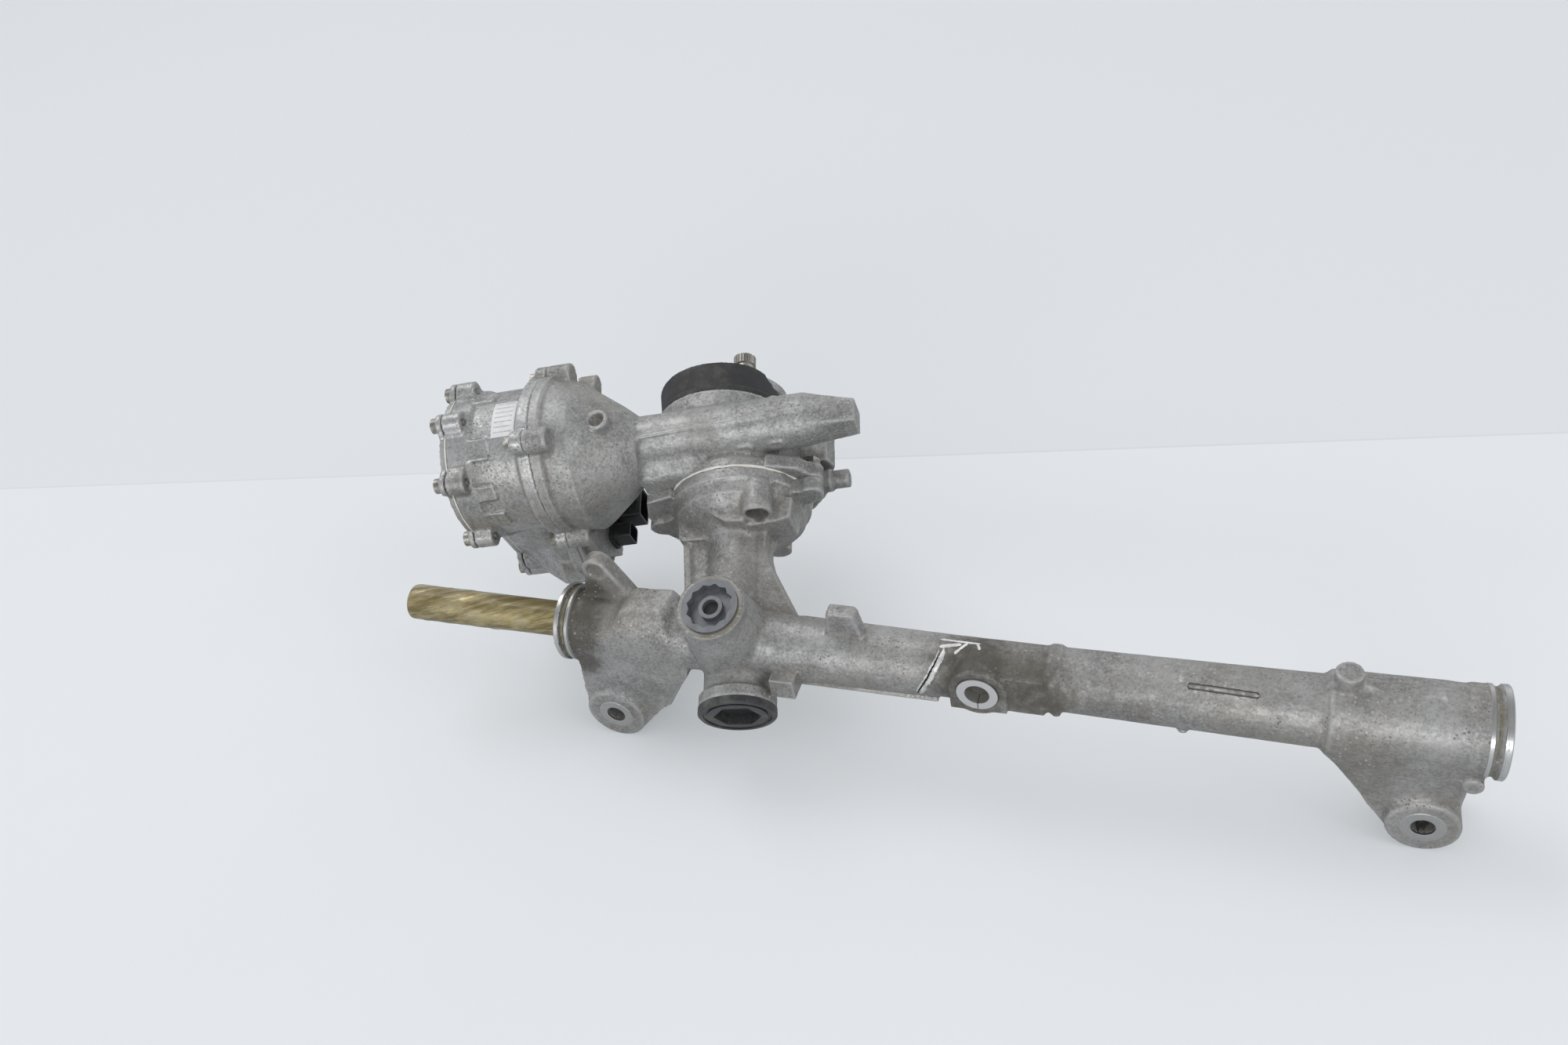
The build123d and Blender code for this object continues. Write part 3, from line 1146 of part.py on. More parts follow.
# ---------------------------------------------------------------- motor housing casting
cover_ears = [
    (36.8, 43.5), (1.3, 57.0), (-40.0, 40.7), (-56.0, -10.7), (-33.0, -103.0), (33.0, -103.0), (52.0, -22.0)]
cover_ear_radius = 8.0
lobe_near = [(-32, -20), (-32, -74), (-31, -104), (-26, -108), (26, -108), (32, -102), (32, -20), (-32, -20)]
lobe_far = [(-44, -20), (-47, -75), (-62, -88), (-58, -97), (26, -108), (32, -102), (32, -20), (-44, -20)]
lobe_step = -155.0            # where the lobe reaches its full width
front_floor = -134.0
motor_shaft_radius = 6.0
motor_race_radius = 13.0
with BuildPart() as motor_housing:
    with BuildSketch(worm_side):
        with BuildLine():
            Polyline(
                (motor_left, 0), (motor_left, motor_radius + 2.5), (motor_left + 16, motor_radius + 2.5),
                (motor_left + 19, motor_radius), (-140, motor_radius), (-137, flange_radius),
                (bell_left, flange_radius), (bell_left, 0), (motor_left, 0))
        make_face()
    revolve(axis=worm_axis)
    # lobe for the electronics, widening toward the flange
    with BuildSketch(worm_at(motor_left)):
        with BuildLine():
            Polyline(*lobe_near)
        make_face()
    with BuildSketch(worm_at(lobe_step)):
        with BuildLine():
            Polyline(*lobe_far)
        make_face()
    loft(ruled=True)
    with BuildSketch(worm_at(lobe_step)):
        with BuildLine():
            Polyline(*lobe_far)
        make_face()
    extrude(amount=bell_left - lobe_step)
    # flange against the bell
    with BuildSketch(worm_at(bell_left)):
        with BuildLine():
            Polyline(*lobe_flange_outline)
        make_face()
        with Locations(*flange_ears):
            Circle(flange_ear_radius)
        with Locations(*[(0.84 * ear_x, 0.84 * ear_y) for ear_x, ear_y in flange_ears]):
            Circle(flange_ear_radius + 2)
    extrude(amount=-9)
    # cover screw bosses, wide at the rim and running out along the barrel
    with BuildSketch(worm_at(motor_left)):
        with Locations(*cover_ears):
            Circle(cover_ear_radius)
        with Locations(*[(0.88 * ear_x, 0.9 * ear_y) for ear_x, ear_y in cover_ears]):
            Circle(cover_ear_radius + 3)
    extrude(amount=14)
    for pad_angle, pad_width in ((62, 12), (112, 16), (146, 12), (172, 14)):
        with Locations(worm_at(motor_left + 8)):
            with PolarLocations(motor_radius - 1, 1, start_angle=pad_angle):
                Box(6, pad_width, 24, align=middle_up)

    # ---- cavities
    with Locations(worm_at(front_floor)):
        Cylinder(motor_bore, front_floor - motor_left, align=middle_down, mode=Mode.SUBTRACT)
    with Locations(worm_at(bell_left)):
        Cylinder(motor_shaft_radius + 2, 10, align=middle_down, mode=Mode.SUBTRACT)
    with Locations(worm_at(front_floor)):
        Cylinder(motor_race_radius, 4, align=middle_up, mode=Mode.SUBTRACT)
    with BuildSketch(worm_at(motor_left)):
        with Locations(board_center):
            RectangleRounded(2 * lobe_half - 10, 44, 4)
    extrude(amount=front_floor - motor_left, mode=Mode.SUBTRACT)
    with BuildSketch(worm_at(bell_left)):
        with Locations(power_center):
            Rectangle(20, 14)
        with Locations(signal_center):
            Rectangle(8, 11)
    extrude(amount=-8, mode=Mode.SUBTRACT)
    with Locations(worm_at(bell_left)):
        with Locations(*[(ear_x, ear_y, 0) for ear_x, ear_y in flange_ears]):
            Cylinder(bolt_m6 + 0.3, 30, align=middle_down, mode=Mode.SUBTRACT)
    with Locations(worm_at(-137)):
        with Locations(*[(ear_x, ear_y, 0) for ear_x, ear_y in flange_ears]):
            Cylinder(7, 30, align=middle_down, mode=Mode.SUBTRACT)
    with Locations(worm_at(motor_left)):
        with Locations(*[(ear_x, ear_y, 0) for ear_x, ear_y in cover_ears]):
            Cylinder(bolt_m5, 15, align=middle_up, mode=Mode.SUBTRACT)
motor_housing.part.label = "motor_housing"
export_step(motor_housing.part, "parts/motor_housing.step")
print("motor_housing", len(motor_housing.part.solids()))

# ---------------------------------------------------------------- motor cover, gasket and screws
gasket_face = motor_left - 0.8
with BuildPart() as motor_cover:
    with BuildSketch(worm_at(gasket_face)):
        Circle(motor_radius + 2.5)
        with BuildLine():
            Polyline(*lobe_near)
        make_face()
        with Locations(*cover_ears):
            Circle(cover_ear_radius)
        with Locations(*[(0.88 * ear_x, 0.9 * ear_y) for ear_x, ear_y in cover_ears]):
            Circle(cover_ear_radius + 3)
    extrude(amount=cover_left - gasket_face + 4)
    with Locations(worm_at(cover_left + 4)):
        Cylinder(motor_radius - 5, 4, align=middle_down)
    with Locations(worm_at(gasket_face)):
        Cylinder(motor_race_radius + 3, 6, align=middle_up)
        Cylinder(motor_race_radius, 10, align=middle_up, mode=Mode.SUBTRACT)
    with Locations(worm_at(gasket_face)):
        with Locations(*[(ear_x, ear_y, 0) for ear_x, ear_y in cover_ears]):
            Cylinder(bolt_m5 + 0.3, 20, align=middle_down, mode=Mode.SUBTRACT)
motor_cover.part.label = "motor_cover"
export_step(motor_cover.part, "parts/motor_cover.step")
print("motor_cover", len(motor_cover.part.solids()))

with BuildPart() as cover_gasket:
    with BuildSketch(worm_at(gasket_face)):
        Circle(motor_radius + 2.9)
        with BuildLine():
            Polyline(*lobe_near)
        make_face()
        Circle(motor_bore + 2, mode=Mode.SUBTRACT)
        with Locations(board_center):
            RectangleRounded(2 * lobe_half - 8, 46, 5, mode=Mode.SUBTRACT)
        with Locations(*cover_ears):
            Circle(bolt_m5 + 1.5, mode=Mode.SUBTRACT)
    extrude(amount=0.8)
cover_gasket.part.label = "cover_gasket"
export_step(cover_gasket.part, "parts/cover_gasket.step")
print("cover_gasket", len(cover_gasket.part.solids()))

with BuildPart() as cover_screws:
    for ear_x, ear_y in cover_ears:
        with Locations(worm_at(cover_left + 4)):
            with Locations((ear_x, ear_y, 0)):
                Cylinder(5.6, 5, align=middle_down)
                Cylinder(bolt_m5, 20, align=middle_up)
        with BuildSketch(worm_at(cover_left - 1)):
            with Locations((ear_x, ear_y)):
                RegularPolygon(radius=2.8, side_count=6)
        extrude(amount=3, mode=Mode.SUBTRACT)
cover_screws.part.label = "cover_screws"
export_step(cover_screws.part, "parts/cover_screws.step")

with BuildPart() as flange_bolts:
    for ear_x, ear_y in flange_ears:
        with BuildSketch(worm_at(-137)):
            with Locations((ear_x, ear_y)):
                RegularPolygon(radius=5.8, side_count=6)
        extrude(amount=-6)
        with Locations(worm_at(-137)):
            with Locations((ear_x, ear_y, 0)):
                Cylinder(6.4, 1.2, align=middle_down)
                Cylinder(bolt_m6, 21, align=middle_up)
flange_bolts.part.label = "flange_bolts"
export_step(flange_bolts.part, "parts/flange_bolts.step")

# ---------------------------------------------------------------- motor: stator, windings, rotor, bearings
stator_inner = 28.0
with BuildPart() as stator_core:
    with BuildSketch(worm_at(stator_left)):
        Circle(motor_bore)
        Circle(stator_inner, mode=Mode.SUBTRACT)
        with PolarLocations(34.5, 12):
            Circle(4.0, mode=Mode.SUBTRACT)
    extrude(amount=stator_length)
stator_core.part.label = "stator_core"
export_step(stator_core.part, "parts/stator_core.step")

with BuildPart() as stator_windings:
    for low, high in ((stator_left - 6, stator_left), (stator_left + stator_length, stator_left + stator_length + 6)):
        with BuildSketch(worm_at(low)):
            Circle(40)
            Circle(30, mode=Mode.SUBTRACT)
        extrude(amount=high - low)
    with BuildSketch(worm_at(stator_left)):
        with PolarLocations(34.5, 12):
            Circle(3.7)
    extrude(amount=stator_length)
stator_windings.part.label = "stator_windings"
export_step(stator_windings.part, "parts/stator_windings.step")
print("stator_windings", len(stator_windings.part.solids()))

with BuildPart() as motor_shaft:
    with Locations(worm_at(gasket_face + 0.3)):
        Cylinder(motor_shaft_radius, -74.0 - gasket_face - 0.3, align=middle_up)
motor_shaft.part.label = "motor_shaft"
export_step(motor_shaft.part, "parts/motor_shaft.step")

with BuildPart() as rotor_core:
    with BuildSketch(worm_at(stator_left + 1)):
        Circle(24)
        Circle(motor_shaft_radius, mode=Mode.SUBTRACT)
        with PolarLocations(14, 6):
            Circle(3.5, mode=Mode.SUBTRACT)
    extrude(amount=stator_length - 2)
rotor_core.part.label = "rotor_core"
export_step(rotor_core.part, "parts/rotor_core.step")

with BuildPart() as rotor_magnets:
    with BuildSketch(worm_at(stator_left + 2)):
        Circle(27)
        Circle(24, mode=Mode.SUBTRACT)
        with PolarLocations(25.5, 8):
            Rectangle(6, 1.5, mode=Mode.SUBTRACT)
    extrude(amount=stator_length - 4)
rotor_magnets.part.label = "rotor_magnets"
export_step(rotor_magnets.part, "parts/rotor_magnets.step")
print("rotor_magnets", len(rotor_magnets.part.solids()))

motor_races = (gasket_face, front_floor - 2.0)
with BuildPart() as motor_outer_rings:
    with Locations(*[worm_at(along) for along in motor_races]):
        Cylinder(motor_race_radius, 6, align=middle_up)
    with Locations(*[worm_at(along) for along in motor_races]):
        Cylinder(11, 6, align=middle_up, mode=Mode.SUBTRACT)
motor_outer_rings.part.label = "motor_outer_rings"
export_step(motor_outer_rings.part, "parts/motor_outer_rings.step")

with BuildPart() as motor_inner_rings:
    with Locations(*[worm_at(along) for along in motor_races]):
        Cylinder(8, 6, align=middle_up)
    with Locations(*[worm_at(along) for along in motor_races]):
        Cylinder(motor_shaft_radius, 6, align=middle_up, mode=Mode.SUBTRACT)
motor_inner_rings.part.label = "motor_inner_rings"
export_step(motor_inner_rings.part, "parts/motor_inner_rings.step")

# ---------------------------------------------------------------- control board and sockets
with BuildPart() as control_board:
    with BuildSketch(worm_at(motor_left + 5)):
        with Locations(board_center):
            RectangleRounded(2 * lobe_half - 10.6, 43.4, 4)
    extrude(amount=1.6)
control_board.part.label = "control_board"
export_step(control_board.part, "parts/control_board.step")

with BuildPart() as board_parts:
    with Locations(worm_at(motor_left + 6.6)):
        with Locations((-14, -72, 0), (14, -72, 0), (0, -90, 0)):
            Box(10, 10, 12, align=middle_up)
        with Locations((-16, -90, 0), (16, -90, 0)):
            Cylinder(5, 18, align=middle_up)
board_parts.part.label = "board_parts"
export_step(board_parts.part, "parts/board_parts.step")

with BuildPart() as power_socket:
    with BuildSketch(worm_at(bell_left + bell_plate)):
        with Locations(power_center):
            RectangleRounded(30, 24, 3)
    extrude(amount=3)
    with BuildSketch(worm_at(bell_left + bell_plate)):
        with Locations(power_center):
            RectangleRounded(26, 20, 3)
    extrude(amount=24)
    with BuildSketch(worm_at(bell_left + bell_plate + 6)):
        with Locations(power_center):
            RectangleRounded(22, 16, 2)
    extrude(amount=20, mode=Mode.SUBTRACT)
    with Locations(worm_at(bell_left + bell_plate + 15)):
        with Locations((power_center[0], power_center[1] + 11, 0)):
            Box(8, 4, 9)
power_socket.part.label = "power_socket"
export_step(power_socket.part, "parts/power_socket.step")

with BuildPart() as signal_socket:
    with BuildSketch(worm_at(bell_left + bell_plate)):
        with Locations(signal_center):
            RectangleRounded(17, 20, 3)
    extrude(amount=3)
    with BuildSketch(worm_at(bell_left + bell_plate)):
        with Locations(signal_center):
            RectangleRounded(14, 17, 3)
    extrude(amount=17)
    with BuildSketch(worm_at(bell_left + bell_plate + 5)):
        with Locations(signal_center):
            RectangleRounded(11, 14, 2)
    extrude(amount=14, mode=Mode.SUBTRACT)
signal_socket.part.label = "signal_socket"
export_step(signal_socket.part, "parts/signal_socket.step")

with BuildPart() as socket_pins:
    with Locations(worm_at(bell_left + bell_plate + 6)):
        with Locations((power_center[0] - 5, power_center[1], 0), (power_center[0] + 5, power_center[1], 0)):
            Box(6, 1.2, 11, align=middle_up)
    with Locations(worm_at(bell_left + bell_plate + 5)):
        with Locations((signal_center[0], signal_center[1], 0)):
            with GridLocations(5, 6, 2, 2):
                Box(1.2, 1.2, 8, align=middle_up)
socket_pins.part.label = "socket_pins"
export_step(socket_pins.part, "parts/socket_pins.step")

# ---------------------------------------------------------------- bare label on the motor barrel
label_left = -158.5
label_length = 18.0
with BuildPart() as bare_label:
    with BuildSketch(worm_at(label_left)):
        Circle(motor_radius + 0.6)
        Circle(motor_radius + 0.1, mode=Mode.SUBTRACT)
    extrude(amount=label_length)
    with BuildSketch(worm_at(label_left - 4)):
        with BuildLine():
            Polyline((0, 0), (27.7, 80.4), (-20.6, 82.5), (0, 0))
        make_face()
    extrude(amount=40, mode=Mode.INTERSECT)
bare_label.part.label = "bare_label"
export_step(bare_label.part, "parts/bare_label.step")
print("bare_label", len(bare_label.part.solids()))
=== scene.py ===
"""Electric steering gear: cast skins, machined seats, greased bar, rubber, seals and a pale studio."""

import logging
import math
from dataclasses import dataclass
from enum import Enum
from typing import Callable, Optional, Sequence

import bmesh
import bpy
import numpy as np
from mathutils import Matrix, Vector, noise
from mathutils.bvhtree import BVHTree


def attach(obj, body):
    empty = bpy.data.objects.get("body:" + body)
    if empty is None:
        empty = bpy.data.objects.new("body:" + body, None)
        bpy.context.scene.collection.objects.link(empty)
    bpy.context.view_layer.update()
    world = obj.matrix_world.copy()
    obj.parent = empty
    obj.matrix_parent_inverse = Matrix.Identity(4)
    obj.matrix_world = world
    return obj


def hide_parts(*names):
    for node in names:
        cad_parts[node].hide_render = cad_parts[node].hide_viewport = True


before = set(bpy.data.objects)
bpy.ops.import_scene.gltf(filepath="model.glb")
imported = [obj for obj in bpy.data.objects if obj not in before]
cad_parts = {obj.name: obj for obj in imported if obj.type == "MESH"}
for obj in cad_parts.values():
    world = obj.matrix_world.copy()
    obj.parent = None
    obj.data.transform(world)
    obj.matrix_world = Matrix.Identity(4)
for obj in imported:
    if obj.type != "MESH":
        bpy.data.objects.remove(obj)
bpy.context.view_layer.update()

LOG = logging.getLogger("steering_gear")
MM = 0.001
Colour = tuple[float, float, float]

# directions of the gear, from the housing's two drilling angles
LEAN = math.radians(13.4)
ROLL = math.radians(20.9)
PINION_DIR = Vector((-math.sin(LEAN), math.cos(LEAN) * math.cos(ROLL), math.cos(LEAN) * math.sin(ROLL)))
YOKE_DIR = Vector((0.0, -math.sin(ROLL), math.cos(ROLL)))
WORM_DIR = PINION_DIR.cross(YOKE_DIR)
RACK_DIR = Vector((1.0, 0.0, 0.0))
RACK_CROSSING = Vector((127.0, 0.0, 0.0)) * MM
PINION_POINT = RACK_CROSSING - YOKE_DIR * 13.5 * MM
WORM_POINT = PINION_POINT + PINION_DIR * 150 * MM + YOKE_DIR * 50 * MM

PROBE_REACH = 60 * MM
SENSOR_WIDTH = 36.0


def gear_point(along: float, height: float, out: float) -> Vector:
    """A point of the leaning gear in the row frame.

    Args:
        along: Millimetres along the worm from the pinion's axis.
        height: Millimetres up the pinion from the rack.
        out: Millimetres toward the yoke's side.

    Returns:
        The point in metres.
    """
    return PINION_POINT + (WORM_DIR * along + PINION_DIR * height + YOKE_DIR * out) * MM


class Body(str, Enum):
    """The moving groups that new pieces ride on."""

    HOUSING = "housing"
    RACK = "rack"


# ------------------------------------------------------------------ shader graph helper
class Graph:
    """Adds and wires nodes in one node tree."""

    def __init__(self, tree: bpy.types.NodeTree) -> None:
        """Keeps the tree that the helper writes to."""
        self.tree = tree

    def add(self, kind: str, inputs: Optional[dict] = None, **settings: object) -> bpy.types.Node:
        """Adds one node.

        Args:
            kind: Blender's node type name.
            inputs: Socket name or index to a value or an output socket.
            **settings: Properties of the node.

        Returns:
            The new node.
        """
        node = self.tree.nodes.new(kind)
        for name, value in settings.items():
            setattr(node, name, value)
        self.feed_all(node, inputs or {})
        return node

    def feed_all(self, node: bpy.types.Node, values: dict) -> None:
        """Feeds several inputs of a node."""
        for name, value in values.items():
            self.feed(node.inputs[name], value)

    def feed(self, socket: bpy.types.NodeSocket, value: object) -> None:
        """Links an output socket to an input, or writes a plain value there."""
        if isinstance(value, bpy.types.NodeSocket):
            self.tree.links.new(value, socket)
        else:
            socket.default_value = value

    def math(self, operation: str, a: object, b: object = 0.0, clamp: bool = False) -> bpy.types.NodeSocket:
        """One arithmetic step on two numbers."""
        return self.add("ShaderNodeMath", {0: a, 1: b}, operation=operation, use_clamp=clamp).outputs[0]

    def times(self, a: object, b: object, clamp: bool = False) -> bpy.types.NodeSocket:
        """The product of two numbers."""
        return self.math("MULTIPLY", a, b, clamp)

    def plus(self, a: object, b: object, clamp: bool = False) -> bpy.types.NodeSocket:
        """The sum of two numbers."""
        return self.math("ADD", a, b, clamp)

    def minus(self, a: object, b: object) -> bpy.types.NodeSocket:
        """The difference of two numbers."""
        return self.math("SUBTRACT", a, b)

    def vector(self, operation: str, a: object, b: object = (0.0, 0.0, 0.0)) -> bpy.types.Node:
        """One arithmetic step on two vectors."""
        return self.add("ShaderNodeVectorMath", {0: a, 1: b}, operation=operation)

    def shifted(self, vector: object, offset: tuple[float, float, float]) -> bpy.types.NodeSocket:
        """A vector moved by an offset, so that noises of one place differ."""
        return self.vector("ADD", vector, offset).outputs[0]

    def arm(self, a: object, b: object) -> bpy.types.NodeSocket:
        """The vector that leads from the second place to the first."""
        return self.vector("SUBTRACT", a, b).outputs[0]

    def dot(self, a: object, b: object) -> bpy.types.NodeSocket:
        """How far one vector reaches along another."""
        return self.vector("DOT_PRODUCT", a, b).outputs["Value"]

    def step(
        self, value: object, low: float, high: float, to: tuple[float, float] = (0.0, 1.0)
    ) -> bpy.types.NodeSocket:
        """Smooth step of a value between two limits."""
        node = self.add(
            "ShaderNodeMapRange",
            {"Value": value, "From Min": low, "From Max": high, "To Min": to[0], "To Max": to[1]},
            interpolation_type="SMOOTHSTEP",
        )
        return node.outputs["Result"]

    def blend(self, factor: object, a: object, b: object) -> bpy.types.NodeSocket:
        """Mixes two colours."""
        a, b = (c if isinstance(c, bpy.types.NodeSocket) else (*c, 1.0) for c in (a, b))
        return self.add("ShaderNodeMix", {0: factor, 6: a, 7: b}, data_type="RGBA").outputs[2]

    def lerp(self, factor: object, a: object, b: object) -> bpy.types.NodeSocket:
        """Mixes two numbers."""
        return self.add("ShaderNodeMix", {0: factor, 2: a, 3: b}).outputs[0]

    def noise(
        self, vector: object, scale: object, detail: float = 3.0, roughness: float = 0.5
    ) -> bpy.types.NodeSocket:
        """Plain fractal noise, about 0.5 on average."""
        return self.add(
            "ShaderNodeTexNoise",
            {"Vector": vector, "Scale": scale, "Detail": detail, "Roughness": roughness},
        ).outputs[0]

    def place(self) -> bpy.types.NodeSocket:
        """Position on the piece, which stays with it as it moves."""
        return self.add("ShaderNodeTexCoord").outputs["Object"]

    def group(self, name: str, inputs: Optional[dict] = None) -> bpy.types.bpy_prop_collection:
        """Places a shared effect.

        Args:
            name: The effect's node group.
            inputs: The values it takes here.

        Returns:
            Its output sockets.
        """
        node = self.tree.nodes.new("ShaderNodeGroup")
        node.node_tree = bpy.data.node_groups[name]
        self.feed_all(node, inputs or {})
        return node.outputs


class EffectLibrary:
    """Shader effects that several finishes use, each built once."""

    def open_group(
        self, name: str, inputs: dict[str, object], outputs: Sequence[str]
    ) -> tuple[Graph, dict, bpy.types.Node]:
        """Starts one node group.

        Args:
            name: The group's name.
            inputs: Input names with their defaults, a number or a triple.
            outputs: Output names, all plain values.

        Returns:
            The graph, the input sockets by name, and the output node.
        """
        tree = bpy.data.node_groups.new(name, "ShaderNodeTree")
        for key, value in inputs.items():
            kind = "NodeSocketFloat" if isinstance(value, float) else "NodeSocketVector"
            tree.interface.new_socket(name=key, in_out="INPUT", socket_type=kind).default_value = value
        for key in outputs:
            tree.interface.new_socket(name=key, in_out="OUTPUT", socket_type="NodeSocketFloat")
        entry = tree.nodes.new("NodeGroupInput")
        leave = tree.nodes.new("NodeGroupOutput")
        return Graph(tree), {key: entry.outputs[key] for key in inputs}, leave

    def cast_skin(self) -> None:
        """Sand-cast texture: grain, pits, chalky bloom and slow changes of tone."""
        outputs = ["Height", "Tone", "Bloom", "Pits", "Flecks", "Warmth"]
        graph, given, leave = self.open_group(
            "cast_skin", {"Grain Size": 0.0009, "Bloom Amount": 1.0}, outputs
        )
        place = graph.place()
        fine = graph.math("DIVIDE", 1.0, given["Grain Size"])
        grain = graph.noise(place, fine, 3.0, 0.6)
        lumps = graph.noise(place, graph.times(fine, 0.14), 2.0)
        cells = graph.add("ShaderNodeTexVoronoi", {"Vector": place, "Scale": graph.times(fine, 0.42)})
        patches = graph.noise(place, 34.0, 3.0, 0.6)
        pits = graph.times(graph.step(cells.outputs["Distance"], 0.30, 0.12), graph.step(patches, 0.46, 0.60))
        height = graph.plus(graph.times(grain, 0.55), graph.times(lumps, 0.9))
        height = graph.minus(height, graph.times(pits, 0.9))
        chalk = graph.noise(place, graph.times(fine, 0.5), 4.0, 0.72)
        field = graph.step(graph.noise(graph.shifted(place, (3.1, 0.7, 1.9)), 26.0, 3.0, 0.62), 0.47, 0.66)
        bloom = graph.times(graph.step(chalk, 0.55, 0.70), graph.lerp(field, 0.12, 1.0))
        bloom = graph.times(bloom, given["Bloom Amount"], clamp=True)
        slow = graph.noise(graph.shifted(place, (0.4, 2.2, 5.0)), 17.0, 5.0, 0.62)
        quick = graph.noise(place, 150.0, 3.0, 0.6)
        speck = graph.noise(place, graph.times(fine, 0.55), 4.0, 0.75)
        tone = graph.plus(graph.times(slow, 0.40), graph.times(quick, 0.18))
        tone = graph.plus(tone, graph.times(speck, 0.42))
        bent = graph.vector(
            "SCALE", graph.add("ShaderNodeTexNoise", {"Vector": place, "Scale": fine}).outputs["Color"]
        )
        bent.inputs["Scale"].default_value = 0.0016
        loose = graph.vector("ADD", place, bent.outputs[0]).outputs[0]
        chips = graph.add("ShaderNodeTexVoronoi", {"Vector": loose, "Scale": graph.times(fine, 0.46)})
        lucky = graph.add("ShaderNodeSeparateColor", {0: chips.outputs["Color"]}).outputs[0]
        area = graph.step(graph.noise(graph.shifted(place, (8.3, 2.7, 0.9)), 19.0, 3.0, 0.6), 0.44, 0.60)
        flecks = graph.times(graph.step(chips.outputs["Distance"], 0.42, 0.22), graph.step(lucky, 0.66, 0.90))
        flecks = graph.times(flecks, graph.lerp(area, 0.10, 1.0))
        warmth = graph.step(graph.noise(graph.shifted(place, (1.7, 6.1, 3.3)), 9.0, 4.0, 0.6), 0.42, 0.66)
        results = {"Height": height, "Tone": graph.step(tone, 0.37, 0.63), "Bloom": bloom}
        graph.feed_all(leave, {**results, "Pits": pits, "Flecks": flecks, "Warmth": warmth})

    def edge_wear(self) -> None:
        """Rubbed edges and shaded hollows from a piece's relief, broken up by noise."""
        graph, given, leave = self.open_group("edge_wear", {"Relief": 0.0}, ["Edge", "Hollow"])
        place = graph.place()
        ragged = graph.minus(graph.noise(place, 210.0, 4.0, 0.65), 0.5)
        edge = graph.plus(given["Relief"], graph.times(ragged, 0.5))
        hollow = graph.minus(graph.times(ragged, 0.6), given["Relief"])
        graph.feed(leave.inputs["Edge"], graph.step(edge, 0.20, 0.75))
        graph.feed(leave.inputs["Hollow"], graph.step(hollow, 0.14, 0.80))

    def grime(self) -> None:
        """Road dirt and oil film: patches that gather in the hollows."""
        graph, given, leave = self.open_group("grime", {"Hollow": 0.0, "Amount": 0.5}, ["Dirt", "Oil"])
        place = graph.place()
        wide = graph.noise(graph.shifted(place, (7.0, 1.0, 2.0)), 13.0, 5.0, 0.68)
        close = graph.noise(place, 90.0, 4.0, 0.7)
        cloud = graph.plus(graph.times(wide, 0.72), graph.times(close, 0.28))
        film = graph.times(graph.step(cloud, 0.47, 0.66), given["Amount"])
        packed = graph.times(given["Hollow"], graph.plus(given["Amount"], 0.35))
        graph.feed(leave.inputs["Dirt"], graph.plus(film, packed, clamp=True))
        oily = graph.noise(graph.shifted(place, (2.0, 9.0, 4.0)), 22.0, 3.0, 0.6)
        graph.feed(
            leave.inputs["Oil"], graph.times(graph.step(oily, 0.55, 0.68), given["Amount"], clamp=True)
        )

    def turned_lines(self) -> None:
        """Fine lathe lines about an axis."""
        defaults = {"Centre": (0.0, 0.0, 0.0), "Axis": (1.0, 0.0, 0.0), "Pitch": 0.0002}
        graph, given, leave = self.open_group("turned_lines", defaults, ["Height", "Sheen"])
        arm = graph.arm(graph.place(), given["Centre"])
        along = graph.dot(arm, given["Axis"])
        spine = graph.add(
            "ShaderNodeVectorMath", {0: given["Axis"], "Scale": along}, operation="SCALE"
        ).outputs[0]
        radius = graph.vector("LENGTH", graph.arm(arm, spine)).outputs["Value"]
        lines = []
        for distance in (along, radius):
            given_w = {"W": graph.math("DIVIDE", distance, given["Pitch"]), "Scale": 1.0, "Detail": 2.0}
            lines.append(graph.add("ShaderNodeTexNoise", given_w, noise_dimensions="1D").outputs[0])
        height = graph.plus(graph.times(lines[0], 0.5), graph.times(lines[1], 0.5))
        graph.feed(leave.inputs["Height"], height)
        graph.feed(leave.inputs["Sheen"], graph.step(height, 0.40, 0.60))

    def wiped_streaks(self) -> None:
        """Grease wiped round a bar: streaks that wind along it."""
        graph, given, leave = self.open_group(
            "wiped_streaks", {"Turns": 26.0, "Stretch": 9.0}, ["Streak", "Smear"]
        )
        axes = graph.add("ShaderNodeSeparateXYZ", {0: graph.place()}).outputs
        around = graph.math("ARCTAN2", axes[2], axes[1])
        winding = graph.plus(graph.times(axes[0], given["Turns"]), graph.times(around, 0.9))
        slide = graph.times(axes[0], given["Stretch"])
        sway = graph.math("SINE", around)
        vector = graph.add(
            "ShaderNodeCombineXYZ", {0: graph.times(winding, 1.7), 1: slide, 2: sway}
        ).outputs[0]
        graph.feed(leave.inputs["Streak"], graph.step(graph.noise(vector, 1.3, 6.0, 0.68), 0.36, 0.64))
        graph.feed(leave.inputs["Smear"], graph.step(graph.noise(graph.place(), 60.0, 4.0, 0.6), 0.40, 0.62))

    def build(self) -> None:
        """Makes every shared effect."""
        for effect in (self.cast_skin, self.edge_wear, self.grime, self.turned_lines, self.wiped_streaks):
            effect()


def start_material(name: str) -> tuple[bpy.types.Material, Graph, bpy.types.Node]:
    """Opens a node material.

    Args:
        name: The material's name.

    Returns:
        The material, its graph and its Principled shader.
    """
    material = bpy.data.materials.new(name)
    material.use_nodes = True
    graph = Graph(material.node_tree)
    shader = next(n for n in material.node_tree.nodes if n.type == "BSDF_PRINCIPLED")
    return material, graph, shader


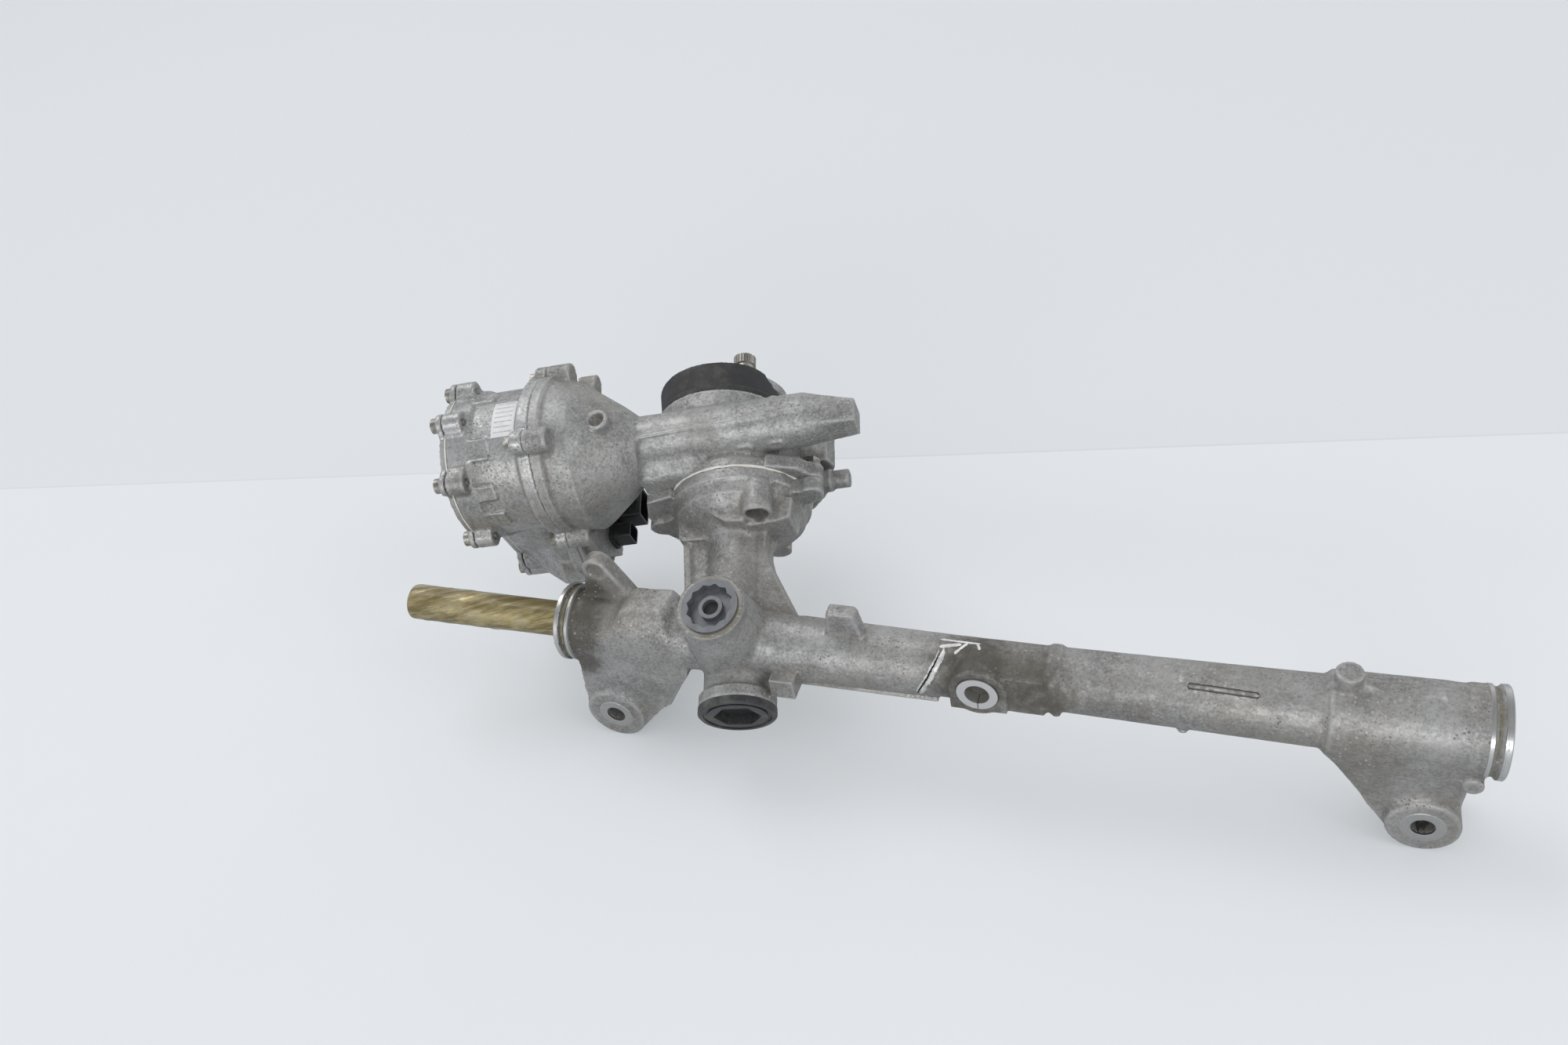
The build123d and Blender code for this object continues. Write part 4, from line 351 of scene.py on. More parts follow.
def bump(graph: Graph, shader: bpy.types.Node, height: object, strength: float, depth: float) -> None:
    """Turns a height into the shader's normal.

    Args:
        graph: The material's graph.
        shader: The shader to feed.
        height: The height's socket.
        strength: Share of the effect.
        depth: Metres from low to high.
    """
    node = graph.add("ShaderNodeBump", {"Height": height, "Strength": strength, "Distance": depth})
    graph.feed(shader.inputs["Normal"], node.outputs["Normal"])


# ------------------------------------------------------------------ finishes
@dataclass(frozen=True)
class CastAluminium:
    """Sand-cast aluminium that has been on the road."""

    name: str = "cast_aluminium"
    pale: Colour = (0.52, 0.52, 0.515)
    dull: Colour = (0.235, 0.235, 0.23)
    chalk: Colour = (0.58, 0.58, 0.565)
    dirt: Colour = (0.135, 0.122, 0.100)
    warm: Colour = (0.33, 0.305, 0.26)
    soot: Colour = (0.085, 0.078, 0.062)
    fleck: Colour = (0.74, 0.74, 0.71)
    grain: float = 0.0011
    bloom: float = 1.0
    grime: float = 0.5
    roughness: float = 0.50
    metallic: float = 0.70
    bump_depth: float = 0.00034

    def make(self) -> bpy.types.Material:
        """Builds the material."""
        material, graph, shader = start_material(self.name)
        skin = graph.group("cast_skin", {"Grain Size": self.grain, "Bloom Amount": self.bloom})
        relief = graph.add("ShaderNodeAttribute", attribute_name="relief").outputs["Fac"]
        wear = graph.group("edge_wear", {"Relief": relief})
        stain = graph.add("ShaderNodeAttribute", attribute_name="stain").outputs["Fac"]
        soil = graph.group("grime", {"Hollow": wear["Hollow"], "Amount": graph.plus(stain, self.grime)})
        metal = graph.blend(skin["Tone"], self.dull, self.pale)
        metal = graph.blend(graph.times(skin["Warmth"], 0.38), metal, self.warm)
        metal = graph.blend(graph.times(wear["Edge"], 0.42), metal, self.chalk)
        metal = graph.blend(graph.times(skin["Bloom"], 0.75), metal, self.chalk)
        metal = graph.blend(graph.times(skin["Pits"], 0.55), metal, self.dirt)
        colour = graph.blend(graph.times(soil["Dirt"], 0.78), metal, self.dirt)
        patch = graph.plus(graph.noise(graph.place(), 150.0, 4.0, 0.65), -0.28)
        patch = graph.times(graph.step(graph.plus(stain, patch), 0.38, 1.05), 0.8)
        colour = graph.blend(patch, colour, self.soot)
        colour = graph.blend(graph.times(skin["Flecks"], 0.46 * self.bloom), colour, self.fleck)
        graph.feed(shader.inputs["Base Color"], colour)
        cover = graph.math("MAXIMUM", soil["Dirt"], graph.times(skin["Bloom"], 0.7))
        graph.feed(shader.inputs["Metallic"], graph.lerp(cover, self.metallic, 0.15))
        rough = graph.lerp(skin["Tone"], self.roughness + 0.10, self.roughness - 0.04)
        rough = graph.lerp(cover, rough, 0.78)
        graph.feed(shader.inputs["Roughness"], graph.lerp(soil["Oil"], rough, 0.34))
        bump(graph, shader, skin["Height"], 0.85, self.bump_depth)
        return material


@dataclass(frozen=True)
class TurnedMetal:
    """Machined metal with lathe lines about one axis."""

    name: str
    centre: Vector
    axis: Vector
    bright: Colour = (0.74, 0.74, 0.73)
    dark: Colour = (0.42, 0.42, 0.41)
    stain: Colour = (0.20, 0.18, 0.13)
    pitch: float = 0.00022
    roughness: float = 0.26
    soil: float = 0.25

    def make(self) -> bpy.types.Material:
        """Builds the material."""
        material, graph, shader = start_material(self.name)
        lines = graph.group(
            "turned_lines", {"Centre": tuple(self.centre), "Axis": tuple(self.axis), "Pitch": self.pitch}
        )
        film = graph.group("grime", {"Hollow": 0.0, "Amount": self.soil})
        metal = graph.blend(lines["Sheen"], self.dark, self.bright)
        graph.feed(shader.inputs["Base Color"], graph.blend(film["Dirt"], metal, self.stain))
        graph.feed(shader.inputs["Metallic"], graph.lerp(film["Dirt"], 1.0, 0.5))
        graph.feed(
            shader.inputs["Roughness"],
            graph.lerp(film["Dirt"], graph.lerp(lines["Sheen"], self.roughness + 0.08, self.roughness), 0.6)
        )
        bump(graph, shader, lines["Height"], 0.35, 0.00004)
        return material


@dataclass(frozen=True)
class PlatedSteel:
    """Plated or plain steel with a little rust, for screws, rings and springs."""

    name: str
    bright: Colour = (0.50, 0.49, 0.46)
    dull: Colour = (0.25, 0.24, 0.22)
    rust: Colour = (0.16, 0.075, 0.03)
    rusting: float = 0.35
    roughness: float = 0.36
    metallic: float = 0.95

    def make(self) -> bpy.types.Material:
        """Builds the material."""
        material, graph, shader = start_material(self.name)
        place = graph.place()
        tone = graph.step(graph.noise(place, 260.0, 4.0, 0.6), 0.35, 0.65)
        spots = graph.times(
            graph.step(graph.noise(place, 420.0, 5.0, 0.72), 0.54, 0.68), self.rusting, clamp=True
        )
        metal = graph.blend(tone, self.dull, self.bright)
        graph.feed(shader.inputs["Base Color"], graph.blend(spots, metal, self.rust))
        graph.feed(shader.inputs["Metallic"], graph.lerp(spots, self.metallic, 0.1))
        graph.feed(
            shader.inputs["Roughness"],
            graph.lerp(spots, graph.lerp(tone, self.roughness + 0.14, self.roughness), 0.85)
        )
        bump(graph, shader, graph.noise(place, 700.0, 3.0), 0.3, 0.00006)
        return material


@dataclass(frozen=True)
class Moulding:
    """Rubber, plastic or a painted coat: one colour with dust, scuffs and a fine skin."""

    name: str
    colour: Colour
    dust: Colour = (0.22, 0.21, 0.19)
    dusting: float = 0.35
    roughness: float = 0.55
    skin_scale: float = 900.0
    skin_depth: float = 0.00005
    metallic: float = 0.0
    specular: float = 0.5

    def make(self) -> bpy.types.Material:
        """Builds the material."""
        material, graph, shader = start_material(self.name)
        place = graph.place()
        cloud = graph.noise(place, 42.0, 5.0, 0.66)
        speck = graph.step(graph.noise(place, 520.0, 4.0, 0.7), 0.56, 0.70)
        cover = graph.times(graph.step(cloud, 0.46, 0.70), self.dusting)
        cover = graph.plus(cover, graph.times(speck, 0.5 * self.dusting), clamp=True)
        shade = graph.blend(
            graph.step(graph.noise(place, 120.0, 3.0), 0.35, 0.65), tuple(0.8 * c for c in self.colour),
            self.colour
        )
        graph.feed(shader.inputs["Base Color"], graph.blend(cover, shade, self.dust))
        graph.feed(
            shader.inputs["Roughness"],
            graph.lerp(cover, graph.lerp(cloud, self.roughness - 0.08, self.roughness + 0.08), 0.85)
        )
        shader.inputs["Metallic"].default_value = self.metallic
        shader.inputs["Specular IOR Level"].default_value = self.specular
        bump(graph, shader, graph.noise(place, self.skin_scale, 3.0, 0.6), 0.5, self.skin_depth)
        return material


@dataclass(frozen=True)
class Grease:
    """Thick olive grease, wiped along the bar."""

    name: str = "olive_grease"
    thin: Colour = (0.47, 0.38, 0.17)
    thick: Colour = (0.15, 0.115, 0.035)
    clear: Colour = (0.46, 0.43, 0.33)
    roughness: float = 0.30

    def make(self) -> bpy.types.Material:
        """Builds the material."""
        material, graph, shader = start_material(self.name)
        wiped = graph.group("wiped_streaks", {"Turns": 30.0, "Stretch": 10.0})
        colour = graph.blend(wiped["Streak"], self.thick, self.thin)
        thinned = graph.times(graph.times(wiped["Smear"], wiped["Streak"]), 0.45)
        graph.feed(shader.inputs["Base Color"], graph.blend(thinned, colour, self.clear))
        graph.feed(shader.inputs["Metallic"], graph.lerp(wiped["Streak"], 0.15, 0.62))
        graph.feed(
            shader.inputs["Roughness"], graph.lerp(wiped["Streak"], self.roughness + 0.22, self.roughness)
        )
        shader.inputs["Coat Weight"].default_value = 0.6
        shader.inputs["Coat Roughness"].default_value = 0.22
        bump(graph, shader, wiped["Streak"], 0.5, 0.00035)
        return material


@dataclass(frozen=True)
class RuledPaper:
    """A blank film label with plain ruled lines along the motor."""

    name: str = "ruled_label"
    paper: Colour = (0.72, 0.73, 0.74)
    line: Colour = (0.33, 0.34, 0.36)
    spacing: float = 0.0042

    def make(self) -> bpy.types.Material:
        """Builds the material."""
        material, graph, shader = start_material(self.name)
        place = graph.place()
        across = graph.dot(place, tuple(PINION_DIR))
        phase = graph.math("FRACT", graph.math("DIVIDE", across, self.spacing))
        stroke = graph.step(graph.math("ABSOLUTE", graph.minus(phase, 0.5)), 0.16, 0.08)
        along = graph.dot(graph.arm(place, tuple(WORM_POINT)), tuple(WORM_DIR))
        inside = graph.times(graph.step(along, -0.1568, -0.1563), graph.step(along, -0.1425, -0.1430))
        faded = graph.step(graph.noise(place, 300.0, 3.0), 0.35, 0.62)
        ink = graph.times(graph.times(stroke, inside), graph.lerp(faded, 0.35, 0.8))
        cloudy = graph.blend(
            graph.step(graph.noise(place, 70.0, 4.0, 0.6), 0.40, 0.70), self.paper,
            tuple(0.86 * c for c in self.paper)
        )
        graph.feed(shader.inputs["Base Color"], graph.blend(ink, cloudy, self.line))
        graph.feed(shader.inputs["Roughness"], graph.lerp(faded, 0.55, 0.42))
        bump(graph, shader, graph.noise(place, 800.0), 0.2, 0.00004)
        return material


@dataclass(frozen=True)
class TableSheet:
    """Pale matt sheet with a faint joint line behind the gear."""

    name: str = "table_sheet"
    near: Colour = (0.80, 0.83, 0.86)
    far: Colour = (0.75, 0.78, 0.81)
    seam: Colour = (0.66, 0.69, 0.72)
    seam_from: tuple[float, float] = (-0.6967, 0.1930)
    seam_to: tuple[float, float] = (0.5845, 0.3928)

    def make(self) -> bpy.types.Material:
        """Builds the material."""
        material, graph, shader = start_material(self.name)
        place = graph.place()
        run = Vector(
            (self.seam_to[0] - self.seam_from[0], self.seam_to[1] - self.seam_from[1], 0.0)
        ).normalized()
        side = Vector((-run.y, run.x, 0.0))
        start = Vector((*self.seam_from, 0.0))
        behind = graph.dot(graph.arm(place, tuple(start)), tuple(side))
        colour = graph.blend(graph.step(behind, -0.0005, 0.0005), self.near, self.far)
        line = graph.step(graph.math("ABSOLUTE", behind), 0.0014, 0.0006)
        colour = graph.blend(graph.times(line, 0.7), colour, self.seam)
        cloud = graph.step(graph.noise(place, 1.6, 4.0, 0.6), 0.35, 0.68)
        colour = graph.blend(graph.times(cloud, 0.25), colour, self.far)
        graph.feed(shader.inputs["Base Color"], graph.blend(0.36, colour, (0.0, 0.0, 0.0)))
        graph.feed(shader.inputs["Emission Color"], colour)
        seen = graph.add("ShaderNodeLightPath").outputs["Is Camera Ray"]
        graph.feed(shader.inputs["Emission Strength"], graph.times(seen, 0.33))
        shader.inputs["Specular IOR Level"].default_value = 0.15
        graph.feed(shader.inputs["Roughness"], graph.lerp(cloud, 0.55, 0.62))
        bump(graph, shader, graph.noise(place, 240.0), 0.05, 0.0001)
        return material


# ------------------------------------------------------------------ mesh helpers
def new_piece(name: str, mesh: bpy.types.Mesh) -> bpy.types.Object:
    """Links a mesh to the scene as a piece."""
    piece = bpy.data.objects.new(name, mesh)
    bpy.context.scene.collection.objects.link(piece)
    return piece


def finish_piece(
    piece: bpy.types.Object, material: bpy.types.Material, body: Body
) -> bpy.types.Object:
    """Dresses a piece and lets it ride on a body.

    Args:
        piece: The new object.
        material: Its finish.
        body: What it moves with.

    Returns:
        The same object.
    """
    piece.data.materials.clear()
    piece.data.materials.append(material)
    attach(piece, body.value)
    return piece


def vertex_array(mesh: bpy.types.Mesh) -> np.ndarray:
    """A mesh's points as rows."""
    points = np.zeros(len(mesh.vertices) * 3)
    mesh.vertices.foreach_get("co", points)
    return points.reshape(-1, 3)


def normal_array(mesh: bpy.types.Mesh) -> np.ndarray:
    """A mesh's point normals as rows."""
    normals = np.zeros(len(mesh.vertices) * 3)
    mesh.vertices.foreach_get("normal", normals)
    return normals.reshape(-1, 3)


def set_points(mesh: bpy.types.Mesh, points: np.ndarray) -> None:
    """Writes rows of points back to a mesh."""
    mesh.vertices.foreach_set("co", points.ravel())
    mesh.update()


def keep_values(mesh: bpy.types.Mesh, name: str, values: np.ndarray) -> None:
    """Stores one value at each point, which the finishes read by name."""
    mesh.attributes.new(name, "FLOAT", "POINT").data.foreach_set("value", values.astype(np.float32))


def neighbour_mean(points: np.ndarray, edges: np.ndarray, count: np.ndarray) -> np.ndarray:
    """The mean of each point's neighbours.

    Args:
        points: Rows of points.
        edges: Rows of two point numbers.
        count: How many neighbours each point has.

    Returns:
        Rows of means.
    """
    total = np.empty_like(points)
    for axis in range(3):
        column = points[:, axis]
        total[:, axis] = np.bincount(edges[:, 0], column[edges[:, 1]], len(points))
        total[:, axis] += np.bincount(edges[:, 1], column[edges[:, 0]], len(points))
    return total / np.maximum(count, 1)[:, None]


def shade_smooth(mesh: bpy.types.Mesh) -> None:
    """Smooth shading on every face."""
    mesh.polygons.foreach_set("use_smooth", np.ones(len(mesh.polygons), bool))


def skin_rows(
    name: str,
    rows: Sequence[Sequence[Vector]],
    around: bool = True,
    loop: bool = False,
    skip: Optional[Callable[[Sequence[bmesh.types.BMVert]], bool]] = None,
) -> bpy.types.Mesh:
    """Lays a smooth skin of quads between rows of points.

    Args:
        name: The mesh's name.
        rows: Rows of points, all with as many points.
        around: Whether each row closes on itself.
        loop: Whether the last row meets the first.
        skip: Says which patches are left out.

    Returns:
        The mesh.
    """
    shape = bmesh.new()
    grid = [[shape.verts.new(point) for point in row] for row in rows]
    for low, high in zip(grid, grid[1:] + grid[:1] if loop else grid[1:]):
        for index in range(len(low) if around else len(low) - 1):
            after = (index + 1) % len(low)
            corners = (low[index], low[after], high[after], high[index])
            if not (skip and skip(corners)):
                shape.faces.new(corners)
    bmesh.ops.delete(shape, geom=[vert for vert in shape.verts if not vert.link_faces], context="VERTS")
    bmesh.ops.recalc_face_normals(shape, faces=shape.faces)
    mesh = bpy.data.meshes.new(name)
    shape.to_mesh(mesh)
    shape.free()
    shade_smooth(mesh)
    return mesh


def full_turn(count: int) -> list[float]:
    """Angles of a full turn in even steps."""
    return [2 * math.pi * step / count for step in range(count)]


@dataclass
class CastPiece:
    """A moulded or cast piece made from its CAD node, with the soft edges that a mould leaves.

    The node's solid is remeshed at a fine step and relaxed. A relief value is kept at each point for wear
    and dirt. Pads are blocks that are filled in first, and softened places are smoothed
    more than the rest.
    """

    node: str
    slot: str
    material: bpy.types.Material
    step: float = 1.1 * MM
    rounds: int = 7
    ripple: float = 0.10 * MM
    body: Body = Body.HOUSING
    stains: Sequence[tuple[Vector, float, float]] = ()
    pads: Sequence[Sequence[Vector]] = ()
    softened: Sequence[tuple[Vector, float]] = ()
    fillet_rounds: int = 45
    crease: float = 0.055 * MM
    fillet_share: float = 0.6
    soft_rounds: int = 70
    relief_rounds: int = 14
    relief_depth: float = 0.55 * MM
    droop: float = 0.0
    droop_from: float = 0.0

    def remesh(self) -> bpy.types.Mesh:
        """The node's solid as an even mesh."""
        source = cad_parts[self.node]
        shape = bmesh.new()
        shape.from_mesh(source.data)
        bmesh.ops.remove_doubles(shape, verts=shape.verts, dist=1e-6)
        for corners in self.pads:
            bmesh.ops.convex_hull(shape, input=[shape.verts.new(corner) for corner in corners])
        mesh = bpy.data.meshes.new(self.node + "_solid")
        shape.to_mesh(mesh)
        shape.free()
        holder = bpy.data.objects.new(self.node + "_solid", mesh)
        bpy.context.scene.collection.objects.link(holder)
        modifier = holder.modifiers.new("even", "REMESH")
        modifier.mode = "VOXEL"
        modifier.voxel_size = self.step
        graph = bpy.context.evaluated_depsgraph_get()
        even = bpy.data.meshes.new_from_object(holder.evaluated_get(graph))
        bpy.data.objects.remove(holder)
        return even

    def fill_creases(
        self, mesh: bpy.types.Mesh, points: np.ndarray, edges: np.ndarray, count: np.ndarray
    ) -> np.ndarray:
        """Lays a fillet in every sharp inside corner, as a mould does.

        Args:
            mesh: The mesh that the points belong to.
            points: Rows of points.
            edges: Rows of two point numbers.
            count: How many neighbours each point has.

        Returns:
            The moved points.
        """
        for turn in range(self.fillet_rounds):
            if turn % 5 == 0:
                set_points(mesh, points)
                normals = normal_array(mesh)
            inward = np.einsum("ij,ij->i", neighbour_mean(points, edges, count) - points, normals)
            points = points + normals * (
                self.fillet_share * np.where(inward > self.crease, inward, 0.0)
            )[:, None]
        return points

    def relax(self, mesh: bpy.types.Mesh) -> None:
        """Rounds the edges, adds the mould's ripple and stores the relief."""
        edges = np.zeros(len(mesh.edges) * 2, int)
        mesh.edges.foreach_get("vertices", edges)
        edges = edges.reshape(-1, 2)
        points = vertex_array(mesh)
        count = np.bincount(edges.ravel(), minlength=len(points)).astype(float)
        points = self.fill_creases(mesh, points, edges, count)
        for centre, reach in self.softened:
            away = np.linalg.norm(points - np.array(centre), axis=1)
            share = 0.55 * np.clip(2.2 - 2.2 * away / reach, 0.0, 1.0)[:, None]
            for _ in range(self.soft_rounds):
                points += share * (neighbour_mean(points, edges, count) - points)
        for _ in range(self.rounds):
            for share in (0.55, -0.57):
                points += share * (neighbour_mean(points, edges, count) - points)
        if self.ripple:
            rise = np.array([noise.fractal(Vector(p) * 95.0, 0.9, 2.0, 3) for p in points])
            set_points(mesh, points)
            points = points + normal_array(mesh) * (rise * self.ripple)[:, None]
        soft = points.copy()
        for _ in range(self.relief_rounds):
            soft += 0.5 * (neighbour_mean(soft, edges, count) - soft)
        set_points(mesh, points)
        relief = np.einsum("ij,ij->i", points - soft, normal_array(mesh)) / self.relief_depth
        keep_values(mesh, "relief", np.clip(relief, -1.0, 1.0))
        stain = np.zeros(len(points))
        for centre, reach, share in self.stains:
            away = np.linalg.norm(points - np.array(centre), axis=1)
            stain = np.maximum(stain, share * np.clip(1.6 - 1.6 * away / reach, 0.0, 1.0))
        keep_values(mesh, "stain", stain)

    def sag(self, mesh: bpy.types.Mesh) -> None:
        """Lets a soft collar's rim sink toward the worm's right end and the back."""
        points = vertex_array(mesh)
        arm = points - np.array(PINION_POINT)
        height = arm @ np.array(PINION_DIR)
        side = arm @ np.array(WORM_DIR) - 0.6 * (arm @ np.array(YOKE_DIR))
        share = np.clip((side + 0.012) / 0.060, 0.0, 1.0)
        share = share * share * (3.0 - 2.0 * share)
        above = np.maximum(0.0, height - self.droop_from)
        points -= np.array(PINION_DIR)[None, :] * (above * share * self.droop)[:, None]
        set_points(mesh, points)

    def build(self) -> bpy.types.Object:
        """Makes the piece in place of its node."""
        mesh = self.remesh()
        if self.droop:
            self.sag(mesh)
        self.relax(mesh)
        shade_smooth(mesh)
        piece = new_piece(self.node + "_cast", mesh)
        finish_piece(piece, self.material, self.body)
        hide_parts(self.node)
        LOG.info("%s: %d faces", piece.name, len(mesh.polygons))
        return piece


@dataclass
class TurnedRing:
    """A machined ring or face, turned from a profile about an axis.

    The profile's points are (distance along the axis, radius) in millimetres.
    """

    name: str
    centre: Vector
    axis: Vector
    profile: Sequence[tuple[float, float]]
    slot: str = "cast_housing"
    segments: int = 128
    bright: Colour = (0.74, 0.74, 0.73)
    dark: Colour = (0.42, 0.42, 0.41)
    soil: float = 0.25
    roughness: float = 0.26
    finish: Optional[bpy.types.Material] = None

    def build(self) -> bpy.types.Object:
        """Turns the profile and dresses it."""
        turn = self.axis.to_track_quat("X", "Z").to_matrix()
        rows = [
            [
                self.centre + turn @ (
                    Vector((along, radius * math.cos(angle), radius * math.sin(angle))) * MM
                )
                for angle in full_turn(self.segments)
            ]
            for along, radius in self.profile
        ]
        mesh = skin_rows(self.name, rows)
        mesh.set_sharp_from_angle(angle=math.radians(30))
        LOG.info("turned %s", self.name)
        metal = self.finish or TurnedMetal(
            self.name + "_metal", self.centre, self.axis, self.bright, self.dark,
            soil=self.soil, roughness=self.roughness
        ).make()
        return finish_piece(new_piece(self.name, mesh), metal, Body.HOUSING)


@dataclass
class GreasedBar:
    """The film of grease on the bar's free end, with wiped ridges."""

    start: float = -132.6
    end: float = -0.6
    bar_radius: float = 13.0
    film: float = 0.30
    ridge: float = 0.42
    steps: int = 190
    segments: int = 120
    wiped_from: float = -52.0
    wiped_film: float = 0.02
    toothed_from: float = -50.0
    tooth_flat: float = 2.4
    rim_share: float = 0.62

    def over_teeth(self, corners: Sequence[bmesh.types.BMVert]) -> bool:
        """Whether a patch of film would bridge the cut side of the bar."""
        return any(
            c.co.x / MM > self.toothed_from and -c.co.dot(YOKE_DIR) / MM > self.tooth_flat for c in corners
        )

    def thickness(self, x: float, angle: float) -> float:
        """The film's thickness in millimetres at a place on the bar."""
        winding = Vector((x * 0.055 + angle * 0.42, math.cos(angle) * 0.9, math.sin(angle) * 0.9 + x * 0.012))
        ridges = max(0.0, noise.fractal(winding * 1.9, 0.8, 2.0, 4) + 0.12)
        lumps = max(
            0.0, noise.noise(Vector((x * 0.16, math.cos(angle) * 1.6, math.sin(angle) * 1.6 + 5.0))) - 0.1
        )
        edge = min(1.0, (x - self.start) / 2.5, (self.end - x) / 5.0)
        thick = max(0.0, edge) * min(0.85, self.film * 0.4 + self.ridge * ridges + 0.35 * lumps)
        return self.wiped_film + thick * max(0.0, min(1.0, (self.wiped_from - x) / 8.0))

    def build(self, material: bpy.types.Material) -> bpy.types.Object:
        """Makes the film."""
        rows = []
        for step in range(self.steps + 1):
            x = self.start + (self.end - self.start) * step / self.steps
            row = []
            for angle in full_turn(self.segments):
                radius = self.bar_radius + self.thickness(x, angle)
                row.append(Vector((x, radius * math.cos(angle), radius * math.sin(angle))) * MM)
            rows.append(row)
        rim = [Vector((point.x, point.y * self.rim_share, point.z * self.rim_share)) for point in rows[0]]
        mesh = skin_rows("bar_grease", [rim] + rows, skip=self.over_teeth)
        LOG.info("grease film")
        return finish_piece(new_piece("bar_grease", mesh), material, Body.RACK)


class SkinProbe:
    """Finds the outer skin of a finished piece, so that thin details sit on it."""

    def __init__(self, piece: bpy.types.Object) -> None:
        """Keeps a search tree of the piece's faces."""
        mesh = piece.data
        corners = [tuple(v.co) for v in mesh.vertices]
        self.tree = BVHTree.FromPolygons(corners, [tuple(p.vertices) for p in mesh.polygons])

    def drop(self, start: Vector, toward: Vector) -> Vector:
        """The first skin point on a ray.

        Args:
            start: A point outside the piece.
            toward: The point that the ray aims at.

        Returns:
            The place on the skin.
        """
        place = self.tree.ray_cast(start, (toward - start).normalized())[0]
        return place or self.tree.find_nearest(toward)[0]


@dataclass
class SkinRibbon:
    """A thin painted, broken or smeared band that follows a line on the rack tube.

    The line's points are (millimetres along the tube, degrees round it from the top toward the front).
    """

    name: str
    line: Sequence[tuple[float, float]]
    width: float
    rise: float
    ragged: float = 0.2
    shift: float = 0.0
    taper: float = 0.15
    steps: int = 90
    clear: float = 0.06
    degree: float = 0.36
    section: tuple[tuple[float, float], ...] = (
        (-1.0, -0.12), (-0.8, 0.8), (0.0, 1.0), (0.8, 0.8), (1.0, -0.12)
    )
    slot: str = "cast_housing"

    def sample(self, share: float) -> tuple[float, float]:
        """The line's place at a share of its length."""
        spans = [
            math.hypot(b[0] - a[0], self.degree * (b[1] - a[1])) for a, b in zip(self.line, self.line[1:])
        ]
        travel = share * sum(spans)
        for (start, end), span in zip(zip(self.line, self.line[1:]), spans):
            if travel <= span or end is self.line[-1]:
                part = min(1.0, travel / span)
                return start[0] + part * (end[0] - start[0]), start[1] + part * (end[1] - start[1])
            travel -= span
        return self.line[-1]

    def build(self, probe: SkinProbe, material: bpy.types.Material) -> bpy.types.Object:
        """Lays the band on the skin.

        Args:
            probe: The skin that carries it.
            material: Its finish.

        Returns:
            The new piece.
        """
        rows = []
        for step in range(self.steps + 1):
            share = step / self.steps
            x, angle = self.sample(share)
            ahead = self.sample(min(1.0, share + 0.01))
            behind = self.sample(max(0.0, share - 0.01))
            run, turn = ahead[0] - behind[0], self.degree * (ahead[1] - behind[1])
            size = math.hypot(run, turn) or 1.0
            side = (-turn / size, run / size)
            jitter = noise.fractal(Vector((share * 17.0, self.width, self.line[0][0])), 0.7, 2.0, 4)
            end = min(1.0, share / self.taper, (1.0 - share) / self.taper) if self.taper else 1.0
            half = 0.5 * self.width * max(0.12, end) * (1.0 + self.ragged * jitter)
            drift = self.shift + self.ragged * 0.9 * noise.noise(Vector((share * 23.0, 3.0, self.line[0][0])))
            row = []
            for across, lift in self.section:
                reach = drift + across * half
                around = math.radians(angle + side[1] * reach / self.degree)
                outward = Vector((0.0, -math.sin(around), math.cos(around)))
                foot = Vector(((x + side[0] * reach) * MM, 0.0, 0.0))
                place = probe.drop(foot + outward * PROBE_REACH, foot)
                row.append(place + outward * (self.clear + self.rise * lift) * MM)
            rows.append(row)
        mesh = skin_rows(self.name, rows, around=False)
        LOG.info("laid %s", self.name)
        return finish_piece(new_piece(self.name, mesh), material, Body.HOUSING)


@dataclass
class SealantBead:
    """The squeezed-out bead between the gear bowl and the worm housing, with its smear at the right."""

    height: float = 118.0
    radius: float = 52.7
    thin: float = 0.95
    smear_at: float = 12.0
    smear: float = 2.1
    steps: int = 420
    sides: int = 12
    flatness: float = 0.75

    def thickness(self, angle: float) -> float:
        """The bead's half width in millimetres at an angle round the joint."""
        lump = 0.45 * noise.fractal(Vector((math.cos(angle) * 4.0, math.sin(angle) * 4.0, 1.0)), 0.8, 2.0, 4)
        away = (math.degrees(angle) - self.smear_at + 180.0) % 360.0 - 180.0
        return max(0.35, self.thin + lump + self.smear * math.exp(-((away / 9.0) ** 2)))

    def build(self, material: bpy.types.Material) -> bpy.types.Object:
        """Makes the bead in place of its node."""
        rows = []
        for angle in full_turn(self.steps):
            out = WORM_DIR * math.cos(angle) + YOKE_DIR * math.sin(angle)
            size = self.thickness(angle)
            wander = 0.35 * noise.noise(Vector((math.cos(angle) * 9.0, math.sin(angle) * 9.0, 4.0)))
            centre = PINION_POINT + PINION_DIR * (self.height + wander) * MM + out * self.radius * MM
            rows.append([
                centre + (out * math.cos(turn) * self.flatness + PINION_DIR * math.sin(turn)) * size * MM
                for turn in full_turn(self.sides)
            ])
        mesh = skin_rows("sealant_bead", rows, loop=True)
        piece = finish_piece(new_piece("sealant_bead", mesh), material, Body.HOUSING)
        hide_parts("joint_bead")
        LOG.info("sealant bead")
        return piece


